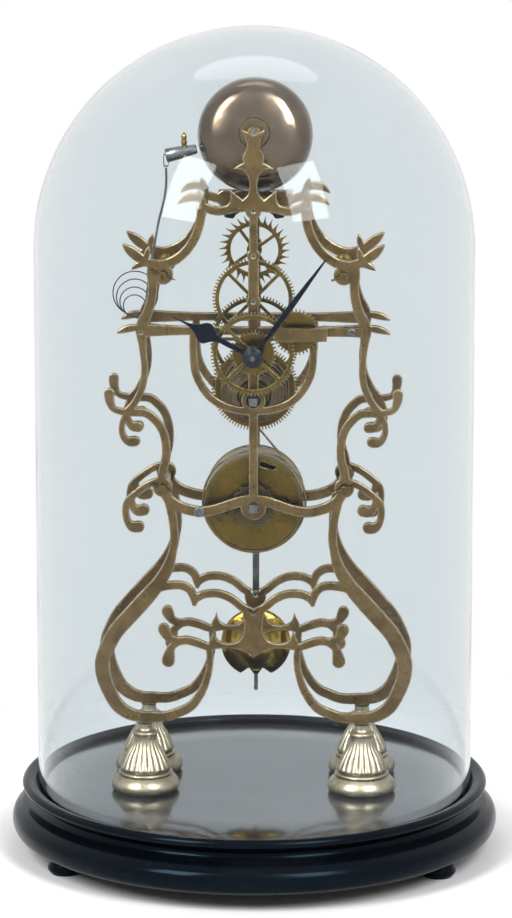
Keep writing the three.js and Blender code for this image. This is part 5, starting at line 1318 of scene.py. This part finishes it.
def hand(name, rows, length, pipe, degrees, y, node_name):
    """A hand at its degrees past twelve. Its rows are (distance, half width), as shares of its length."""
    shapes = bar_shapes([(0, along * length, half * length) for along, half in rows], 8)
    loops = joined_outlines(shapes + [circle(0, 0, pipe * 1.5, 48)], [circle(0, 0, pipe + 0.1, 32)])
    loops = turned_about(loops, math.radians(degrees), 0, CENTRE_Z)
    new_piece(name, [flat_piece(loops, y, y + HAND, 0.2)], BLUED_STEEL, node_name, 34)


def hands():
    hour = [(0.03, 0.026), (0.3, 0.03), (0.44, 0.034), (0.5, 0.07), (0.56, 0.118), (0.62, 0.11), (0.7, 0.05),
            (0.78, 0.02), (1, 0.006)]
    minute = [(0.03, 0.013), (0.25, 0.018), (0.5, 0.025), (0.8, 0.016), (1, 0.006)]
    hand("blued_hour_hand", hour, 51.3, HOUR_OUT, 297, HOUR_HAND_Y, "hour_hand")
    hand("blued_minute_hand", minute, 70, CANNON_OUT, 36.2, MINUTE_HAND_Y, "minute_hand")


def hand_collet():
    back = MINUTE_HAND_Y - SEAT
    wide = CANNON_OUT * 2.25
    dome = smooth_run([(ARBOR_BORE, back - 1.9), (wide * 0.5, back - 1.8), (wide * 0.62, back - 1.2),
                       (wide * 0.8, back - 1.3), (wide * 0.95, back - 0.9), (wide, back - 0.3), (wide, back)], 5)
    profile = [(ARBOR_BORE, back)] + dome + [(ARBOR_BORE, back)]
    new_piece("domed_collet", [turned_y(profile, 0, CENTRE_Z, 40)], DARK_STEEL, "hand_collet", 50)


# Escapement, pendulum and bell


def anchor():
    """The anchor over the escape wheel, its nibs a little outside the circle of the teeth."""
    bore, shoulder = 1.5, 17.7
    nib_x = ESCAPE_TIP * 0.59
    nib_z = ESCAPE_Z + math.sqrt((ESCAPE_TIP + 1.1) ** 2 - nib_x**2) - PALLET_Z
    right = [(shoulder, nib_z + 1.1), (nib_x, nib_z), (nib_x * 0.88, nib_z * 0.7), (nib_x * 0.45, -bore * 1.8)]
    top = [(shoulder * 0.85, nib_z * 0.3), (shoulder * 0.45, bore * 1.5)]
    outline = top[::-1] + right + [(-x, z) for x, z in right[::-1]] + [(-x, z) for x, z in top] + [(0, bore * 2.4)]
    outline = [(x, z + PALLET_Z) for x, z in anticlockwise(rounded(outline, 1.6, 6))]
    loops = [outline, circle(0, PALLET_Z, bore, 32)[::-1]]
    new_piece("polished_anchor", [flat_piece(loops, -1.2, 1.2, 0.3)], BLUED_STEEL, "anchor", 34)


def bob():
    """A lens with a notch at the bottom for the rating nut: two faces that meet at the rim's outline."""
    rows = smooth_run([(0, BOB_HALF), (BOB_RADIUS * 0.5, BOB_HALF * 0.82), (BOB_RADIUS * 0.8, BOB_HALF * 0.5),
                       (BOB_RADIUS * 0.97, 1.7), (BOB_RADIUS, 0.8)], 6)
    notch_x, notch_z = 8.9, -BOB_RADIUS + BOB_NOTCH

    def half_thick(r):
        for (r0, t0), (r1, t1) in zip(rows, rows[1:]):
            if r <= r1:
                return t0 + (t1 - t0) * (r - r0) / max(r1 - r0, 1e-6)
        return rows[-1][1]

    sides = 96
    low = math.sqrt(BOB_RADIUS**2 - notch_x**2)
    rim = [p for p in circle(0, 0, BOB_RADIUS, sides) if not (abs(p[0]) < notch_x and p[1] < 0)]
    corners = [(-notch_x, -low), (-notch_x / 2, notch_z), (0, notch_z), (notch_x / 2, notch_z), (notch_x, -low)]
    split = next(i for i, p in enumerate(rim) if p[0] < 0 and rim[(i + 1) % len(rim)][0] > 0 and p[1] < 0)
    outline = rim[: split + 1] + corners + rim[split + 1:]
    flat = [Vector(p) for p in outline]
    for share in (0.1, 0.2, 0.3, 0.4, 0.5, 0.6, 0.7, 0.8, 0.86, 0.91, 0.95, 0.98):  # points inside the faces
        for x, z in circle(0, 0, BOB_RADIUS * share, 48):
            if z > notch_z + 0.3 or abs(x) > notch_x + 0.3:
                flat.append(Vector((x, z)))
    flat.append(Vector((0, 0)))
    count = len(outline)
    found, _, made, _, _, within = delaunay_2d_cdt(flat, [], [list(range(count))], 1, 1e-6, True)
    made = [face for face, inside in zip(made, within) if inside]
    verts, faces = [], []
    for side in (-1, 1):
        start = len(verts)
        verts += [(p.x, PENDULUM_Y + side * half_thick(p.length), BOB_Z + p.y) for p in found]
        for face in made:
            a, b, c = (found[i] for i in face[:3])
            turn = (b.x - a.x) * (c.y - a.y) - (c.x - a.x) * (b.y - a.y)
            face = face if (turn > 0) == (side < 0) else face[::-1]
            faces.append([start + i for i in face])
    shift = len(found)
    for k in range(count):
        n = (k + 1) % count
        faces.append([k, k + shift, n + shift, n][::-1])
    run = [math.hypot(v[0], v[2] - BOB_Z) for v in verts]
    new_piece("lens_bob", [(verts, faces, run)], MIRROR_BRASS, "pendulum_bob", 40)


def rating_nut():
    top = BOB_Z - BOB_RADIUS + BOB_NOTCH - 2 * SEAT - SEAT
    under = top - 3.2
    profile = [(1.5, top), (1.5, under), (1.9, under), (2.3, under + 1), (3.2, top - 1.2), (3.4, top - 1),
               (3.4, top - 0.2), (3.2, top), (1.5, top)]
    part = turned_z(profile, 0, PENDULUM_Y, 72, lambda a, h, r: 0.12 * math.cos(24 * a) if r > 3.3 else 0)
    new_piece("milled_rating_nut", [part], BRIGHT_BRASS, "rating_nut", 40)


def tilted(part):
    """Turns a part on the bell's axis up with it, about the middle of its mouth."""
    centre = Vector((0, BELL_MOUTH, BELL_Z))
    turn = Matrix.Rotation(-BELL_TILT, 3, "X")
    return moved(part, turn, centre - turn @ centre)


def bell_pieces():
    shape = [(1, 0), (0.985, 0.25), (0.93, 0.55), (0.78, 0.84), (0.5, 0.97)]
    outer = [(r * BELL_RADIUS, BELL_MOUTH - d * BELL_DEPTH) for r, d in shape]
    inner = [(r * BELL_RADIUS - BELL_WALL, BELL_MOUTH - d * (BELL_DEPTH - BELL_WALL)) for r, d in shape if d != 0.25]
    crown = BELL_MOUTH - BELL_DEPTH
    flat, rise, bore = 9, 1.6, 2.5
    outside = smooth_run(outer + [(flat + 0.2, crown + 0.02)], 7)
    inside = smooth_run(inner + [(flat, crown + BELL_WALL)], 6)
    boss = [(flat, crown), (8.7, crown - 0.9), (8.1, crown - rise), (bore, crown - rise), (bore, crown + BELL_WALL),
            (flat, crown + BELL_WALL)]
    lip = [(BELL_RADIUS - BELL_WALL / 2, BELL_MOUTH)]
    profile = outside + boss + inside[::-1][1:] + lip + [outside[0]]
    piece = new_piece("turned_bell", [tilted(turned_y(profile[::-1], 0, BELL_Z, 120))], BELL_BRONZE, "bell",
                      40)
    piece.data.materials.append(DARK_BRONZE)
    centre = Vector((0, BELL_MOUTH, BELL_Z))
    for face in piece.data.polygons:
        spot = Matrix.Rotation(BELL_TILT, 3, "X") @ (face.center / MM - centre)
        if math.hypot(spot.x, spot.z) < flat + 0.05 and spot.y < 0.6 - BELL_DEPTH:
            face.material_index = 1
    back = crown - rise - SEAT
    front = back - 3
    side = 4.05
    cap = smooth_run([(bore, front), (side * 0.8, front + 0.1), (side, front + 1.2), (side, back)], 4)
    new_piece("bell_cap_nut", [tilted(turned_y([(bore, back)] + cap + [(bore, back)], 0, BELL_Z, 40))],
              TURNED_BRASS, "bell_nut", 50)


# Hammer and its coil of thin wire

HEAD_SLOPE = math.radians(13)
HEAD_START = BELL_RADIUS + 1.2
HEAD_LONG = 18.0
HEAD_RADIUS = 3.7
ROD_RADIUS = 0.7


def along_head(distance, drop=0.0):
    """The (x, z) at a distance from the bell's axis along the sloping head, and at a drop below that line."""
    across, down = math.cos(HEAD_SLOPE), math.sin(HEAD_SLOPE)
    return -distance * across - drop * down, BELL_Z - distance * down - drop * across


def hammer():
    r = HEAD_RADIUS
    bar = smooth_run([(0.0, 0), (r * 0.4, 0.0), (r * 0.68, 0.15), (r * 0.74, 0.9)], 4)
    bar = [(max(a, 0), b) for a, b in bar]
    bar[0] = (0, 0)
    rings = [(r * 0.85, 5), (r, HEAD_LONG * 0.55), (r * 1.1, HEAD_LONG - 0.5), (r, HEAD_LONG), (0, HEAD_LONG)]
    x, z = along_head(HEAD_START)
    turn = Matrix.Rotation(-math.pi / 2 - HEAD_SLOPE, 3, "Y")
    head = moved(lathe(bar + rings, 40), turn, (x, HAMMER_Y, z))
    end = along_head(HEAD_START + HEAD_LONG)
    half = r * 0.45
    drop = smooth_run([(end[0] + 0.8, end[1] + 0.6, r * 0.6), (end[0] + 0.2, end[1] - 1.5, r * 0.5),
                       (end[0], end[1] - r * 1.7, half * 0.8)], 5)
    lug = flat_piece([ribbon(drop)], HAMMER_Y - half, HAMMER_Y + half, 0.4)
    ax, az = along_head(HEAD_START + HEAD_LONG * 0.45, -r * 0.8)
    a, h = 1.8, 8.6
    cup = [(0, 0), (a * 0.5, 0), (a * 0.75, h * 0.12), (a, h * 0.33), (a * 0.98, h * 0.42), (a * 0.7, h * 0.47)]
    nut = smooth_run([(a * 0.7, h * 0.48), (a * 0.88, h * 0.6), (a * 0.8, h * 0.78), (a * 0.35, h * 0.93),
                      (0.12, h)], 4)
    acorn = moved(lathe(cup + nut + [(0, h)], 32), shift=(ax, HAMMER_Y, az))
    piece = new_piece("hammer_with_acorn", [head, lug, acorn], TURNED_STEEL, "hammer_head", 40)
    piece.data.materials.append(BRIGHT_BRASS)
    for face in piece.data.polygons[len(head[1]) + len(lug[1]):]:
        face.material_index = 1
    top, bottom = end[1] - r * 1.9, HAMMER_Z + 1.3 * 2.2
    shares = [(0, 0), (0, 0.11), (0.1, 0.22), (0.33, 0.36), (0.5, 0.5), (0.75, 0.72), (0.86, 0.86), (1, 1)]
    rows = [(end[0] + x * (HAMMER_X - end[0]), HAMMER_Y, top + z * (bottom - top)) for x, z in shares]
    new_piece("bent_hammer_rod", [tube(smooth_run(rows, 8), ROD_RADIUS, 14)], STEEL, "hammer_rod", 40)


def hammer_coil():
    """Four loops of spring wire, each smaller, that share one level below, and the end by the back plate."""
    loops, big, shrink, pitch, wire_radius = 4, 14.0, 2.1, 1.9, 0.35
    foot = HAMMER_Z + 2.6 + wire_radius
    middle = HAMMER_X - big * 0.3
    front = HAMMER_Y - loops * pitch - 2 * ROD_RADIUS
    path, steps = [], 56
    for i in range(loops * steps + 1):
        turn = i / steps
        a = -math.pi / 2 + 2 * math.pi * turn
        r = big - shrink * (loops - turn)
        path.append((middle + r * math.cos(a), front + pitch * turn, foot + r + r * math.sin(a)))
    x, y, z = path[-1]
    end_y = INNER - SEAT - wire_radius
    end_x = x + pitch * 0.6
    tail = [(x, y, z), (end_x, y + pitch / 2, z - pitch / 2), (end_x, (y + end_y) / 2, z - pitch),
            (end_x, end_y, z - pitch)]
    path += smooth_run(tail, 6)[1:]
    new_piece("coiled_hammer_wire", [tube(path, wire_radius, 10)], DARK_WIRE, "hammer_coil", 40)


front_plate()
back_plate()
wooden_base()
for number in range(3):
    bun_foot(number)
glass_dome()
for side, x in (("left", -FOOT_X), ("right", FOOT_X)):
    brass_foot(f"front_foot_{side}", x, -PLATE_MID)
    brass_foot(f"back_foot_{side}", x, PLATE_MID)
for place, where in zip(PILLARS, PILLAR_NAMES):
    pillar(place, where)
    taper_pin(place, where)
slotted_screw("click_screw_with_slot", CLICK_X, CLICK_Z, SCREW_HEAD, -OUTER, RATCHET_Y + 1.9, "click_screw", 1.35)
slotted_screw("cock_screw_with_slot", COCK_END - 2.2 * SCREW_HEAD, MOTION_Z, 0.8 * SCREW_HEAD, -OUTER - COCK_FOOT,
              -OUTER, "motion_cock_screw", 0.4)
going_wheels()
motion_work()
fusee_cone()
new_piece("gut_line", [tube(line_path(), LINE_RADIUS, 12)], GUT, "fusee_line", 40)
barrel()
barrel_cover()
mainspring()
ratchet_and_click()
hands()
hand_collet()
anchor()
bob()
rating_nut()
bell_pieces()
hammer()
hammer_coil()

for name in ("barrel_arbor", "fusee_arbor", "centre_arbor", "third_arbor", "escape_arbor", "pallet_arbor",
             "crutch", "suspension_spring", "pendulum_rod", "bell_stand", "hammer_arbor"):
    refine(name, STEEL, 0.2)
for name in ("motion_cock", "pendulum_cock"):
    refine(name, AGED_BRASS, 0.35)


# Floor, world and lamps


def floor():
    """A round of pale paper that fades into the background."""
    mesh = bpy.data.meshes.new("paper_floor")
    rings, sides, far = 24, 96, 1.6
    points = [(0, 0, 0)]
    for j in range(1, rings + 1):
        r = far * j / rings
        points += [(x, y, 0) for x, y in circle(0, 0, r, sides)]
    faces = [[0, 1 + k, 1 + (k + 1) % sides] for k in range(sides)]
    for j in range(rings - 1):
        low, high = 1 + j * sides, 1 + (j + 1) * sides
        faces += [[low + k, high + k, high + (k + 1) % sides, low + (k + 1) % sides] for k in range(sides)]
    mesh.from_pydata(points, [], faces)
    material, tree, shader = new_finish("pale_paper")
    feed(tree, shader, {"Base Color": (0.86, 0.86, 0.87, 1), "Roughness": 0.75})
    place = node(tree, "SeparateXYZ")
    tree.links.new(node(tree, "TexCoord").outputs["Object"], place.inputs[0])
    squares = [maths(tree, "POWER", place.outputs[way], 2.0) for way in "XY"]
    away = maths(tree, "POWER", maths(tree, "ADD", *squares), 0.5)
    fade = spread(tree, away, 0.17, 0.42)
    tree.links.new(maths(tree, "SUBTRACT", 1.0, fade), shader.inputs["Alpha"])
    mesh.materials.append(material)
    made = bpy.data.objects.new("paper_floor", mesh)
    bpy.context.scene.collection.objects.link(made)


def studio_world():
    """White for the camera and for reflections and glass, dimmer as a light on rough surfaces."""
    world = bpy.data.worlds.new("white_studio")
    world.use_nodes = True
    tree = world.node_tree
    rays = node(tree, "LightPath").outputs
    seen = maths(tree, "MAXIMUM", rays["Is Camera Ray"], rays["Is Glossy Ray"])
    seen = maths(tree, "MAXIMUM", seen, rays["Is Transmission Ray"])
    level = node(tree, "MapRange")
    feed(tree, level, {"Value": seen, "To Min": 0.38, "To Max": 1.0})
    feed(tree, tree.nodes["Background"], {"Color": (1, 1, 1, 1), "Strength": level.outputs["Result"]})
    bpy.context.scene.world = world


def softbox(name, place, aim, width, height, power, shape="RECTANGLE"):
    data = bpy.data.lights.new(name, "AREA")
    data.shape = shape
    data.size, data.size_y = width, height
    data.energy = power
    lamp = bpy.data.objects.new(name, data)
    bpy.context.scene.collection.objects.link(lamp)
    lamp.location = place
    lamp.rotation_euler = (Vector(aim) - Vector(place)).to_track_quat("-Z", "Y").to_euler()


floor()
studio_world()
softbox("left_softbox", (-1.35, -1.6, 1.85), aim=(0, 0, 0.25), width=0.85, height=1.4, power=60)
softbox("right_softbox", (1.1, -1.75, 1.85), aim=(0, 0, 0.25), width=0.85, height=1.3, power=52)
softbox("top_softbox", (0, 0.75, 2.0), aim=(0, 0, 0.2), width=1.3, height=0.65, power=3.6, shape="ELLIPSE")
bpy.context.scene.view_settings.view_transform = "Standard"
